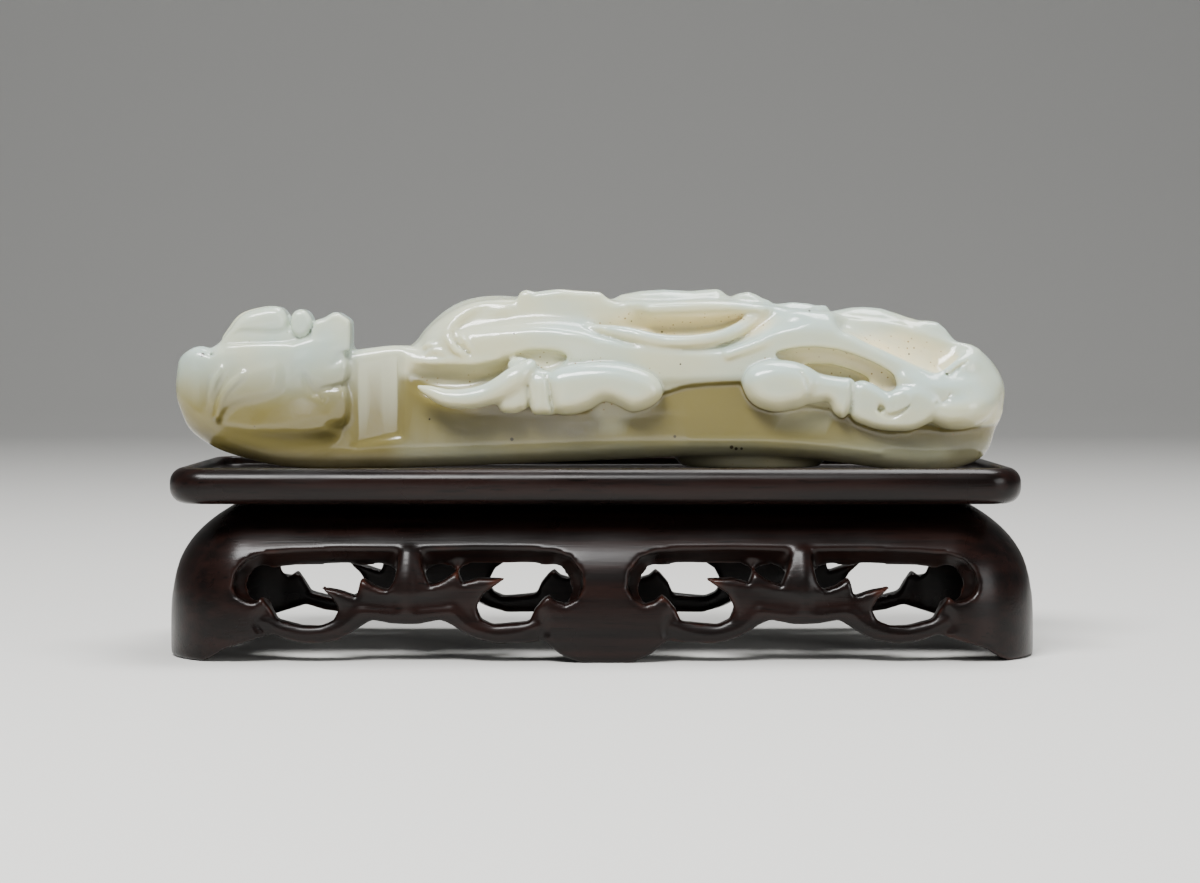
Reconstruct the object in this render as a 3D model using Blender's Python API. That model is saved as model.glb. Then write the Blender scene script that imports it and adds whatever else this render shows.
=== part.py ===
"""Belt hook of pale nephrite carved with a crawling chilong dragon, on its fitted openwork wooden stand.

The hook runs along X with its dragon head at -X, its button faces down, and the stand's feet are at z = 0.
The carved forms keep their proportions in shares: one share is about a 110th of the hook's own length.
Each form is a smooth path or outline through a few (across, deep, high) places, with a radius in shares.
"""

import math

import bpy
import numpy as np

MM = 0.001

# Hook: a solid shank with a dragon head, a chilong in openwork on its back, and an oval button beneath
HOOK_LENGTH = 109.8
HOOK_SHIFT = -1.47
HOOK_STEP = 0.62
HOOK_TRIANGLES = 5950
NECK_HALF_WIDTH = 6.6
BODY_HALF_WIDTH = 9.0
HEAD_HALF_WIDTH = 8.2
HEAD_TURN = 0.03
BUTTON_HALF_LENGTH = 11.2
BUTTON_HALF_WIDTH = 7.0
BUTTON_DEPTH = 2.2
BUTTON_PLACE = 21.2

# Stand: a tray over a recessed waist, on a shouldered base with four corner legs and two centre feet
WAIST_LENGTH = 94.8
WAIST_DEPTH = 24.0
WAIST_CORNER = 3.0
TRAY_OVERHANG = 6.9
TRAY_OVERHANG_DEEP = 8.0
TRAY_CORNER = 5.0
TRAY_SHIFT = -0.85
TRAY_TOP = 24.5
TRAY_UNDER = 19.9
RIM_WIDTH = 2.4
WELL_DEPTH = 1.4
REST_GAP = 0.3
FOOT_SPREAD = 8.6
WALL = 3.4
CEILING = 15.3
CORNER_POINTS = 6
CUT_REACH = 30.0
EASE_OUT = 18.4
EASE_IN = 15.4
WAIST_BOTTOM = 19.6
SHOULDER_POWER = 4.2
FRONT_MIDDLE = 0.4

JADE_COLOUR = (0.62, 0.64, 0.52)
WOOD_COLOUR = (0.045, 0.020, 0.013)


def clear_scene():
    """Removes what the scene holds at the start."""
    for item in list(bpy.data.objects):
        bpy.data.objects.remove(item, do_unlink=True)


def material_of(name, colour, roughness):
    """A Principled material with one plain colour."""
    material = bpy.data.materials.new(name)
    material.use_nodes = True
    shader = material.node_tree.nodes["Principled BSDF"]
    shader.inputs["Base Color"].default_value = (*colour, 1.0)
    shader.inputs["Roughness"].default_value = roughness
    shader.inputs["Metallic"].default_value = 0.0
    return material


def object_of(name, points, faces, material=None):
    """A mesh object at the origin from points in millimetres."""
    mesh = bpy.data.meshes.new(name)
    mesh.from_pydata((np.asarray(points, float) * MM).tolist(), [], [list(map(int, face)) for face in faces])
    mesh.validate()
    item = bpy.data.objects.new(name, mesh)
    bpy.context.scene.collection.objects.link(item)
    if material is not None:
        mesh.materials.append(material)
    return item


def soft_min(a, b, blend):
    """The union of two distances, with a fillet of about the blend."""
    share = np.clip(0.5 + 0.5 * (b - a) / blend, 0.0, 1.0)
    return b + (a - b) * share - blend * share * (1.0 - share)


def soft_max(a, b, blend):
    """The overlap of two distances, with its edge eased by about the blend."""
    return -soft_min(-a, -b, blend)


def round_max(a, b, radius):
    """The overlap of two distances, with its edge rounded to the radius."""
    reach = np.hypot(np.maximum(a + radius, 0.0), np.maximum(b + radius, 0.0))
    return np.minimum(-radius, np.maximum(a, b)) + reach


def spline(knots, closed=False, per_span=6):
    """A smooth path through the knots, each of any number of coordinates."""
    knots = np.asarray(knots, float)
    if closed:
        padded = np.vstack([knots[-1:], knots, knots[:2]])
    else:
        padded = np.vstack([2 * knots[0] - knots[1], knots, 2 * knots[-1] - knots[-2]])
    path = []
    for p0, p1, p2, p3 in zip(padded[:-3], padded[1:-2], padded[2:-1], padded[3:]):
        for step in range(per_span):
            t = step / per_span
            curve = 2 * p1 + (p2 - p0) * t
            curve = curve + (2 * p0 - 5 * p1 + 4 * p2 - p3) * t * t
            curve = curve + (3 * p1 - p0 - 3 * p2 + p3) * t * t * t
            path.append(0.5 * curve)
    if not closed:
        path.append(knots[-1])
    return np.array(path)


def outline_distance(outline, u, v):
    """The signed distance from a closed outline at every (u, v), negative inside."""
    nearest = np.full(np.broadcast(u, v).shape, 1e9)
    inside = np.zeros(nearest.shape, bool)
    for (au, av), (bu, bv) in zip(outline, np.roll(outline, -1, axis=0)):
        run, rise = bu - au, bv - av
        share = ((u - au) * run + (v - av) * rise) / (run * run + rise * rise + 1e-12)
        share = np.clip(share, 0.0, 1.0)
        gap = (u - au - share * run) ** 2 + (v - av - share * rise) ** 2
        nearest = np.minimum(nearest, gap)
        if av != bv:
            inside ^= ((av > v) != (bv > v)) & (u < au + (v - av) / rise * run)
    return np.where(inside, -1.0, 1.0) * np.sqrt(nearest)


class Stone:
    """A block of points, each with its signed distance from the carved surface, in shares."""

    def __init__(self, low, high, step):
        self.step = step
        self.axes = [np.arange(a, b + step, step) for a, b in zip(low, high)]
        self.x = self.axes[0][:, None, None]
        self.y = self.axes[1][None, :, None]
        self.z = self.axes[2][None, None, :]
        self.far = np.full([len(axis) for axis in self.axes], 9.0)

    def slab(self, side, plan, radius, low_radius=None):
        """The distance from a slab seen as one outline from the side and another from above."""
        from_side = outline_distance(side, self.axes[0][:, None], self.axes[2][None, :])[:, None, :]
        from_top = outline_distance(plan, self.axes[0][:, None], self.axes[1][None, :])[:, :, None]
        if low_radius is not None:
            share = np.clip((self.z - 4.0) / 5.0, 0.0, 1.0)
            radius = low_radius + (radius - low_radius) * share
        return round_max(from_side, from_top, radius)

    def box(self, low, high):
        """The slices of the block that a box covers."""
        cut = []
        for axis, a, b in zip(self.axes, low, high):
            first = int(np.clip(np.searchsorted(axis, a) - 1, 0, len(axis) - 2))
            last = int(np.clip(np.searchsorted(axis, b) + 1, first + 2, len(axis)))
            cut.append(slice(first, last))
        return tuple(cut)

    def blend(self, place, distance, blend, cut):
        old = self.far[place]
        self.far[place] = soft_max(old, -distance, blend) if cut else soft_min(old, distance, blend)

    def tube(self, knots, blend=0.6, wide=1.0, cut=False, per_span=5):
        """Adds or cuts a tube through (x, y, z, radius) knots, its section widened across by a factor."""
        path = spline(knots, per_span=per_span)
        reach = path[:, 3].max() * max(wide, 1.0) + blend + 2 * self.step
        place = self.box(path[:, :3].min(axis=0) - reach, path[:, :3].max(axis=0) + reach)
        x, y, z = self.x[place[0]], self.y[:, place[1]] / wide, self.z[:, :, place[2]]
        path[:, 1] /= wide
        distance = np.full(self.far[place].shape, 9.0)
        for a, b in zip(path[:-1], path[1:]):
            run = b - a
            share = (x - a[0]) * run[0] + (y - a[1]) * run[1] + (z - a[2]) * run[2]
            share = np.clip(share / (run[:3] @ run[:3] + 1e-12), 0.0, 1.0)
            gap = (x - a[0] - share * run[0]) ** 2
            gap = gap + (y - a[1] - share * run[1]) ** 2
            gap = gap + (z - a[2] - share * run[2]) ** 2
            distance = np.minimum(distance, np.sqrt(gap) - a[3] - share * run[3])
        self.blend(place, distance, blend, cut)

    def ball(self, centre, radii, turn=0.0, blend=0.6, cut=False):
        """Adds or cuts an ellipsoid, turned by some degrees in the side view."""
        centre, radii = np.array(centre, float), np.array(radii, float)
        reach = radii.max() + blend + 2 * self.step
        place = self.box(centre - reach, centre + reach)
        x, y, z = self.x[place[0]], self.y[:, place[1]], self.z[:, :, place[2]]
        cosine, sine = math.cos(math.radians(turn)), math.sin(math.radians(turn))
        along = ((x - centre[0]) * cosine + (z - centre[2]) * sine) / radii[0]
        over = ((z - centre[2]) * cosine - (x - centre[0]) * sine) / radii[2]
        across = (y - centre[1]) / radii[1]
        distance = (np.sqrt(along**2 + over**2 + across**2) - 1.0) * radii.min()
        self.blend(place, distance, blend, cut)

    def leaf(self, outline, centre_y, half, radius=0.5, blend=0.4, cut=False):
        """Adds or cuts a plate with an outline in the side view, between two depths."""
        outline = np.asarray(outline, float)
        reach = blend + 2 * self.step + 0.5
        low = (outline[:, 0].min() - reach, centre_y - half - reach, outline[:, 1].min() - reach)
        high = (outline[:, 0].max() + reach, centre_y + half + reach, outline[:, 1].max() + reach)
        place = self.box(low, high)
        flat = outline_distance(outline, self.axes[0][place[0]][:, None], self.axes[2][place[2]][None, :])
        distance = round_max(flat[:, None, :], np.abs(self.y[:, place[1]] - centre_y) - half, radius)
        self.blend(place, distance, blend, cut)

    def pocket(self, outline, wall, radius=2.0, blend=0.3, side=-1):
        """Cuts in from one side down to a wall, with a hollow curve where floor and wall meet."""
        centre_y = side * (14.0 + wall) / 2
        self.leaf(spline(outline, closed=True), centre_y, (14.0 - wall) / 2, radius, blend, True)

    def pad(self, outline, centre_y, half, radius, blend=0.4):
        """Adds a cushion with a smooth outline in the side view."""
        self.leaf(spline(outline, closed=True), centre_y, half, radius, blend)


def both(knots):
    """The knots and their mirror image across the middle plane."""
    return [knots, [(x, -y, *rest) for x, y, *rest in knots]]


def carve_shank(stone):
    """The solid bar: an arched underside, a flat-sided neck and a rounded heel."""
    side = spline([(-55.1, 10.2), (-54.5, 7.6), (-53.1, 5.1), (-49.7, 2.8), (-45.6, 1.4), (-40.8, 0.3),
        (-33.7, -0.1), (-20.5, 0.2), (-2.7, 1.0), (14.4, 1.7), (26.7, 1.5), (39.0, 0.0), (45.8, -0.3),
        (50.6, 0.8), (53.1, 2.6), (54.4, 5.4), (55.0, 8.4), (53.1, 11.1), (46.4, 12.2), (27.8, 13.0),
        (1.1, 13.2), (-16.3, 14.8), (-24.7, 16.2), (-31.9, 15.6), (-41.6, 15.4), (-51.6, 15.1),
        (-54.1, 13.5)], closed=True)
    half = [(-55.2, 3.6), (-52.6, 6.4), (-46.0, 7.6), (-38.0, 7.3), (-33.0, NECK_HALF_WIDTH),
        (-25.0, NECK_HALF_WIDTH + 0.2), (-12.0, 7.9), (8.0, BODY_HALF_WIDTH),
        (30.0, BODY_HALF_WIDTH + 0.2), (43.0, 8.2), (51.0, 5.6), (54.2, 2.4)]
    plan = spline([(x, -w) for x, w in half] + [(x, w) for x, w in reversed(half)], closed=True)
    stone.far = stone.slab(side, plan, 1.8, 3.0)


def carve_button(stone):
    """The oval button under the shank, slanting in to its flat end."""
    x, y = stone.x - BUTTON_PLACE, stone.y
    taper = 1.0 - 0.18 * np.clip((2.4 - stone.z) / BUTTON_DEPTH, 0.0, 1.1)
    oval = np.sqrt((x / (BUTTON_HALF_LENGTH * taper)) ** 2 + (y / (BUTTON_HALF_WIDTH * taper)) ** 2) - 1.0
    disc = round_max(oval * BUTTON_HALF_WIDTH, np.abs(stone.z - 1.6) - 1.6 + 0.05, 0.35)
    stone.far = soft_min(stone.far, disc + 0.0 * stone.far, 0.3)


def carve_dragon_head(stone):
    """The hook's own head, looking back along the shank: snout, brow, eye, ear and the locks on its cheek."""
    side = spline([(-55.0, 10.2), (-54.8, 12.7), (-54.4, 14.3), (-53.1, 15.4), (-51.5, 15.6),
        (-49.9, 15.3), (-48.5, 15.9), (-45.6, 16.2), (-40.3, 16.4), (-37.3, 17.2), (-34.3, 18.0),
        (-32.1, 18.3), (-31.9, 16.3), (-32.0, 11.6), (-32.1, 7.0), (-32.4, 3.6), (-36.3, 2.3),
        (-42.9, 2.0), (-48.9, 3.6), (-52.9, 5.8)], closed=True)
    plan = spline([(-55.2, -3.4), (-53.4, -6.2), (-48.0, -7.7), (-40.0, -HEAD_HALF_WIDTH), (-33.4, -7.9),
        (-31.9, -6.8), (-32.6, 0.0), (-33.2, 6.8), (-34.6, 7.7), (-40.0, HEAD_HALF_WIDTH), (-48.0, 7.7),
        (-53.4, 6.2), (-55.2, 3.4)], closed=True)
    stone.far = soft_min(stone.far, stone.slab(side, plan, 1.1, 4.6), 0.9)
    stone.pad([(-50.4, 15.2), (-48.8, 16.6), (-47.5, 18.2), (-45.6, 19.5), (-42.9, 20.0), (-40.5, 19.4),
        (-39.5, 18.7), (-37.3, 18.6), (-35.5, 19.1), (-32.9, 19.4), (-32.3, 17.5), (-32.9, 14.3),
        (-41.6, 13.5), (-48.3, 13.8)], -0.4, 6.5, 1.4, 0.5)
    stone.tube([(-51.3, -5.2, 14.3, 1.8), (-52.9, 5, 14.3, 1.8)], blend=0.7)
    brow = [(-48.2, 16.7), (-47.3, 18.3), (-46.2, 19.8), (-45.0, 20.6), (-43.2, 21.1), (-41.6, 21.3),
        (-40.6, 21.1), (-39.9, 20.2), (-39.6, 18.9), (-40.0, 17.9), (-41.6, 17.6), (-44.0, 17.7),
        (-46.1, 17.7)]
    knob = [(-37.9, 20.9), (-37.0, 20.4), (-36.5, 19.2), (-37.0, 17.9), (-37.9, 17.3), (-39.0, 17.9),
        (-39.3, 19.2), (-38.9, 20.4)]
    ear = [(-36.2, 19.3), (-34.8, 19.7), (-33.7, 20.4), (-33.1, 20.5), (-32.3, 20.0), (-31.5, 19.4),
        (-31.5, 17.6), (-31.6, 15.4), (-36.3, 15.4), (-36.6, 17.5)]
    for sign in (-1, 1):
        far_side = max(sign, 0)
        turn = 1.0 + far_side * HEAD_TURN
        near, over, back = ([(x * turn, z + 0.2 * far_side) for x, z in form] for form in (brow, knob, ear))
        stone.pad(near, sign * 4.0, 3.4, 1.4, 0.3)
        stone.pad(over, sign * 4.8, 3.1, 0.8, 0.15)
        stone.leaf(back, sign * 4.6, 3.3, 0.5, 0.3)
        leaf = [(-48.9, 6.8), (-48.5, 8.6), (-47.8, 10.2), (-46.7, 11.6), (-45.0, 12.8), (-42.9, 13.6),
            (-41.1, 13.9), (-40.5, 12.8), (-40.6, 11.1), (-41.4, 9.9), (-43.7, 9.4), (-46.1, 8.9),
            (-47.8, 7.7)]
        stone.pad(leaf, sign * 7.7, 0.75, 0.7, 0.5)
        lock = [(-43.5, 5.7), (-42.7, 7.8), (-40.3, 9.3), (-38.0, 10.0), (-35.1, 10.0), (-32.1, 10.6),
            (-31.2, 8.9), (-31.3, 6.4), (-33.0, 6.1), (-35.6, 6.5), (-38.0, 6.2), (-39.5, 5.6),
            (-41.9, 5.3)]
        stone.pad(lock, sign * 7.75, 0.75, 0.6, 0.35)
        lip = [(-36.8, 13.3), (-35.4, 12.8), (-33.6, 13.7), (-31.3, 14.5), (-31.2, 12.1), (-32.8, 11.2),
            (-34.6, 10.8), (-36.2, 11.5)]
        stone.pad(lip, sign * 7.7, 0.7, 0.6, 0.4)
    for knots in both([(-48.8, -8, 6.9, 0.4), (-48.5, -8.1, 8.5, 0.45), (-47.9, -8.2, 9.9, 0.45),
            (-46.8, -8.2, 11.3, 0.45), (-45.4, -8.2, 12.5, 0.35)]):
        stone.tube(knots, blend=0.5)
    for knots in both([(-49.8, -7.3, 8.1, 0.35), (-49.6, -7.6, 10.2, 0.5), (-49.2, -7.8, 11.7, 0.5),
            (-48.2, -7.8, 13.2, 0.35)]):
        stone.tube(knots, blend=0.6)
    for knots in both([(-47.4, -7.7, 16.0, 0.3), (-43.7, -8, 16.2, 0.35), (-39.4, -8, 16.2, 0.3)]):
        stone.tube(knots, blend=0.5)
    for knots in both([(-33.7, -8.3, 13.8, 0.25), (-32.9, -8.3, 14.6, 0.45), (-31.6, -8.2, 15.0, 0.3)]):
        stone.tube(knots, blend=0.3, cut=True, wide=1.6)


def carve_mound(stone):
    """The mass of the chilong over the shank, before it is opened up."""
    side = spline([(-24.1, 15.9), (-22.8, 17.2), (-20.7, 19.1), (-18.3, 20.7), (-16.0, 21.7),
        (-12.8, 22.2), (-9.6, 22.2), (-4.3, 21.9), (6.4, 22.0), (17.1, 22.2), (26.4, 21.0), (35.8, 20.2),
        (43.1, 18.4), (47.6, 16.8), (49.9, 16.3), (51.4, 15.4), (52.7, 14.3), (54.3, 12.7), (55.2, 11.5),
        (55.6, 10.2), (55.3, 8.6), (54.8, 6.8), (53.1, 5.2), (49.1, 5.0), (38.4, 5.2), (22.4, 6.3),
        (6.4, 6.3), (-6.9, 6.3), (-20.3, 7.6)], closed=True)
    half = [(-24.6, 3.6), (-22.6, 6.2), (-19.5, 7.2), (-14.0, 8.0), (-6.0, 8.8), (2.0, 9.3), (10.0, 9.5),
        (20.0, 9.5), (36.0, 9.7), (44.0, 9.3), (49.0, 8.2), (53.0, 6.4), (55.5, 3.0)]
    plan = spline([(x, -w) for x, w in half] + [(x, w) for x, w in reversed(half)], closed=True)
    stone.far = soft_min(stone.far, stone.slab(side, plan, 3.2), 0.6)


def open_front(stone):
    """The hollows that set the chilong free on the side it is seen from."""
    neck = [(-17.7, 17.1), (-15.3, 17.5), (-11.9, 18.0), (-6.7, 18.5), (-2.0, 18.1), (1.9, 17.2),
        (5.8, 16.6), (7.6, 18.2), (6.3, 22.2), (3.7, 24.8), (-4.1, 25.0), (-14.5, 24.2), (-17.4, 21.4),
        (-18.7, 18.5)]
    stone.pocket(neck, 5.9, 3.2, 1.1)
    channel = [(1.1, 17.2), (6.3, 16.0), (11.5, 15.1), (16.1, 14.9), (20.4, 15.9), (24.3, 17.6),
        (27.4, 18.5), (30.0, 19.8), (31.3, 21.4), (30.5, 24.8), (14.1, 25.3), (1.1, 23.5), (-0.2, 19.5)]
    stone.pocket(channel, 8.5, 2.2, 0.4)
    stone.pocket([(16.2, 16.2), (19.3, 16.7), (22.2, 18.0), (24.5, 19.5), (26.6, 21.1), (27.1, 23.5),
        (23.5, 23.5), (22.5, 21.4), (20.9, 19.5), (18.8, 18.0)], 6.8, 2.2, 1.0)
    saddle = [(1.1, 18.6), (4.0, 18.0), (6.3, 17.2), (9.2, 16.8), (12.8, 16.8), (16.2, 17.3),
        (18.8, 18.4), (20.6, 19.5), (21.3, 20.2), (19.8, 20.5), (16.7, 20.3), (12.8, 20.1), (7.6, 19.9),
        (3.7, 19.5)]
    stone.pocket(saddle, 3.4, 3.6, 1.5)
    loin = [(32.1, 18.4), (33.7, 17.6), (35.6, 16.6), (37.8, 15.6), (40.4, 14.4), (43.0, 13.2),
        (45.4, 12.3), (46.9, 13.0), (48.5, 14.3), (49.9, 15.6), (48.8, 17.7), (45.4, 19.3), (40.2, 21.4),
        (35.7, 22.4), (31.8, 21.1)]
    stone.pocket(loin, 5.4, 3.4, 1.3)
    flank = [(23.9, 15.1), (25.8, 15.8), (28.7, 16.0), (31.7, 15.7), (34.4, 14.9), (37.0, 13.8),
        (39.1, 12.5), (40.4, 11.2), (39.9, 10.3), (38.1, 10.0), (35.2, 10.9), (31.8, 11.7), (27.9, 12.9),
        (25.1, 13.8)]
    stone.pocket(flank, 7.4, 1.2, 0.3)
    stone.pocket([(27.7, 13.6), (30.5, 13.8), (33.4, 13.2), (36.0, 12.0), (35.7, 10.9), (32.3, 11.5),
        (29.0, 12.3)], 5.6, 0.8, 0.4)
    mouth = [(-23.9, 12.8), (-21.1, 13.4), (-16.9, 13.3), (-13.2, 13.7), (-10.9, 14.3), (-9.9, 13.9),
        (-10.4, 12.5), (-12.2, 10.9), (-15.8, 9.6), (-20.3, 9.6), (-23.1, 10.7)]
    stone.pocket(mouth, 4.9, 2.4, 1.1)
    stone.pocket([(-10.1, 14.7), (-8.8, 15.4), (-6.6, 15.6), (-4.4, 15.4), (-3.2, 14.6), (-4.3, 13.4),
        (-6.3, 12.9), (-8.5, 13.6)], 7.4, 0.8, 0.6)
    under = [(-24.4, 6.0), (-23.8, 9.1), (-19.7, 10.2), (-9.3, 9.7), (6.3, 9.4), (9.9, 10.2),
        (12.0, 10.9), (14.9, 11.2), (19.3, 11.4), (20.8, 9.4), (27.1, 8.6), (33.6, 7.6), (42.6, 6.0),
        (46.5, 5.3), (51.7, 6.0), (53.8, 7.6), (54.3, 1.1), (14.1, 1.1), (-24.4, 1.1)]
    stone.leaf(under, -12.95, 4.0, 0.3, 0.25, True)
    stone.pocket([(-31.6, 18.2), (-24.3, 18.2), (-24.3, 12.8), (-24.6, 3.9), (-27.7, 3.2), (-31.3, 2.6)],
        6.35, 0.2, 0.15)


def open_top(stone):
    """The hollows between the spine of the chilong and the folds beside it, seen from above."""
    stone.tube(
        [(-8.0, 4.6, 22.6, 0.8), (-3.0, 5.6, 22.8, 1.3), (2.0, 5.8, 22.6, 0.8)],
        blend=0.5, wide=1.3, cut=True,
    )
    stone.tube(
        [(4.0, -3.0, 23.0, 0.8), (10.0, -3.2, 23.2, 1.5), (16.0, -3.0, 22.8, 0.8)],
        blend=0.5, wide=1.3, cut=True,
    )
    stone.tube(
        [(16.0, 3.6, 22.6, 0.8), (22.0, 3.4, 22.4, 1.9), (29.0, 3.6, 21.8, 1.0)],
        blend=0.5, wide=1.5, cut=True,
    )
    stone.tube(
        [(31.0, -4.4, 21.0, 0.9), (37.0, -4.0, 20.8, 1.5), (43.0, -3.6, 19.6, 0.9)],
        blend=0.5, wide=1.4, cut=True,
    )


def carve_chilong_front(stone):
    """The chilong's head, sinuous body, limbs and tail on the side it is seen from."""
    stone.tube([(-22.4, 0, 15.4, 1.4), (-19.7, 0, 17.0, 2.7), (-16.0, 0, 18.7, 3.6),
        (-11.2, 0, 19.1, 3.6), (-6.3, 0, 18.2, 3)], blend=1.0, wide=1.5)
    for knots in both([(-19.2, -4.2, 18.1, 0.9), (-17.6, -4.6, 18.8, 1)]):
        stone.tube(knots, blend=0.5)
    for knots in both([(-15.0, -4.8, 19.7, 0.7), (-12.0, -5.2, 20.6, 1), (-9.2, -5.2, 20.6, 0.6)]):
        stone.tube(knots, blend=0.5)
    ridges = [[(-9.7, 19.8), (-9.7, 22.6), (-9.3, 23.3), (-8.5, 23.5), (-7.5, 23.2), (-6.1, 23.4),
        (-4.3, 23.6), (-2.1, 23.4), (1.1, 23.2), (2.2, 22.3), (3.8, 21.2), (2.7, 19.6), (-4.3, 19.4)],
        [(1.6, 21.6), (3.8, 22.9), (6.4, 23.4), (9.4, 23.6), (13.1, 23.4), (16.6, 23.7), (17.2, 23.4),
        (18.2, 22.6), (20.0, 22.0), (19.2, 19.9), (6.4, 19.6)], [(17.9, 22.2), (19.1, 23.0),
        (20.6, 23.3), (21.9, 22.8), (23.4, 21.8), (24.6, 20.7), (23.1, 19.0), (19.8, 19.0)],
        [(22.7, 20.7), (24.0, 21.6), (26.4, 21.9), (28.6, 21.7), (30.6, 21.2), (31.6, 20.4),
        (32.0, 18.8), (26.4, 18.3), (23.2, 19.0)], [(31.0, 19.9), (32.4, 20.8), (34.2, 21.2),
        (36.0, 21.3), (38.2, 21.1), (40.4, 20.4), (42.7, 19.6), (44.3, 18.0), (42.7, 16.2), (35.8, 17.5),
        (32.6, 18.6)], [(41.6, 19.4), (44.0, 19.5), (45.5, 19.3), (46.6, 18.4), (47.8, 16.8),
        (48.3, 15.4), (44.6, 15.4), (42.2, 17.2)]]
    for outline, half, round_off in zip(ridges, (5.9, 4.6, 5.0, 5.0, 5.0, 5.0),
        (0.8, 2.6, 1.6, 1.2, 2.6, 1.4)):
        stone.leaf(outline, 0.0, half, round_off, 0.6)
    for knots in ([(-0.5, -6.9, 18.6, 0.4), (2.1, -7.7, 18.2, 0.7), (4.7, -8.5, 17.7, 0.9),
            (8.9, -8.9, 16.8, 0.9), (13.0, -9, 16.7, 0.9), (16.7, -8.6, 17.3, 0.9),
            (19.6, -7.6, 18.6, 0.9), (21.5, -6, 20.2, 0.9), (22.9, -3.6, 21.4, 0.8)],
            [(17.7, -9.3, 15.0, 0.7), (22.4, -9, 16.7, 0.8), (25.6, -7.6, 18.4, 0.8),
            (28.1, -6, 19.8, 0.8), (30.5, -3.6, 20.8, 0.7)], [(45.3, -8.6, 12.0, 0.7),
            (46.6, -8.2, 12.8, 0.7), (48.4, -7.2, 14.1, 0.7), (50.3, -5.4, 15.1, 0.7)]):
        stone.tube(knots, blend=0.5)
    stone.tube([(-22.4, -9.4, 10.8, 0.3), (-20.9, -9.8, 10.2, 0.8), (-18.7, -10.2, 9.4, 1.2),
        (-16.2, -10.4, 9.3, 1.35), (-13.6, -10.5, 9.8, 1.45), (-11.6, -10.6, 10.7, 1.6),
        (-9.9, -10.6, 11.9, 1.6), (-8.6, -10.4, 12.9, 1.2), (-8.0, -10, 13.6, 0.9)], blend=0.3)
    stone.pad([(-10.9, 13.8), (-9.6, 14.7), (-8.0, 14.3), (-6.6, 13.3), (-5.7, 12.0), (-8.0, 11.2),
        (-10.3, 11.5)], -8.6, 1.3, 1.0, 0.5)
    stone.pad([(-12.5, 9.7), (-11.2, 11.2), (-9.0, 12.8), (-6.0, 12.9), (-4.3, 11.8), (-4.5, 7.7),
        (-6.5, 7.7), (-8.1, 8.8), (-9.8, 7.9), (-11.6, 8.3)], -9.7, 1.3, 1.0, 0.5)
    stone.pad([(-12.1, 10.2), (-11.1, 11.4), (-9.5, 12.1), (-8.4, 12.5), (-8.0, 11.1), (-8.1, 9.2),
        (-8.4, 8.1), (-9.1, 7.7), (-10.0, 7.4), (-10.9, 7.4), (-11.9, 7.9)], -10.1, 1.4, 1.3, 0.7)
    stone.pad([(-8.1, 11.5), (-7.1, 12.5), (-5.9, 12.7), (-5.1, 11.5), (-5.0, 9.2), (-5.0, 7.5),
        (-6.0, 7.2), (-7.2, 7.2), (-7.9, 8.0)], -10.1, 1.5, 1.4, 0.6)
    stone.pad([(-5.9, 11.8), (-4.6, 13.2), (-2.0, 13.8), (1.1, 14.0), (4.2, 13.8), (6.5, 13.2),
        (8.2, 12.3), (9.2, 10.7), (8.9, 9.3), (7.3, 8.1), (5.2, 7.6), (3.2, 8.5), (1.6, 8.9),
        (-0.2, 7.9), (-2.5, 7.2), (-4.6, 7.4), (-5.5, 8.9)], -10.0, 2.3, 2.2, 0.25)
    stone.pad([(0.8, 9.4), (3.7, 9.9), (7.3, 9.4), (8.1, 8.6), (5.5, 7.5), (3.9, 6.4), (2.6, 5.4),
        (1.5, 6.0), (1.0, 7.7)], -8.9, 0.85, 0.8, 0.8)
    stone.pad([(19.5, 11.1), (19.9, 12.7), (20.9, 13.6), (22.6, 14.2), (24.7, 14.3), (26.7, 14.0),
        (28.5, 13.1), (29.6, 11.5), (29.1, 9.7), (27.6, 8.4), (25.9, 7.9), (23.9, 7.6), (21.8, 8.1),
        (20.3, 9.2)], -9.9, 2.5, 2.4, 0.3)
    stone.pad([(27.0, 13.3), (29.8, 12.5), (32.2, 12.1), (33.8, 11.8), (34.1, 9.9), (33.6, 8.1),
        (32.6, 6.8), (31.4, 7.4), (30.4, 8.9), (27.8, 8.9)], -9.9, 1.7, 1.5, 0.4)
    stone.pad([(25.0, 7.3), (27.8, 8.6), (31.2, 9.7), (33.0, 8.1), (31.0, 6.9), (28.6, 6.0), (26.7, 5.6),
        (25.6, 6.3)], -8.75, 0.9, 0.8, 0.6)
    stone.pad([(33.7, 10.9), (35.0, 11.7), (36.7, 11.1), (38.4, 10.2), (40.2, 10.7), (42.1, 11.0),
        (43.8, 10.3), (44.9, 9.2), (44.6, 7.6), (43.7, 6.2), (41.5, 5.2), (39.3, 5.1), (37.2, 5.3),
        (35.5, 5.8), (33.8, 6.7), (33.3, 8.7)], -9.5, 1.6, 1.3, 0.4)
    stone.pad([(38.5, 9.9), (39.7, 10.7), (41.0, 10.6), (41.7, 9.4), (41.5, 8.0), (40.5, 7.1),
        (39.2, 6.8), (38.1, 7.4), (38.5, 8.3)], -9.9, 1.4, 1.0, 0.4)
    stone.tube([(37.2, -11.3, 8.7, 0.3), (37.3, -11.4, 7.8, 0.5), (38.5, -11.5, 7.2, 0.35),
        (40.0, -11.6, 7.4, 0.3)], blend=0.35, cut=True)
    stone.tube([(44.2, -9.2, 8.0, 1.5), (46.6, -8.8, 7.6, 2.3), (49.0, -7.9, 8.1, 2.6),
        (51.0, -5.8, 9.1, 2.4)], blend=0.7)
    stone.tube([(40.7, -9, 11.7, 1.2), (44.6, -8.8, 10.4, 1.7), (48.3, -7.4, 10.2, 2.4),
        (51.3, -4.6, 10.6, 2.4)], blend=0.9)


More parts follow.
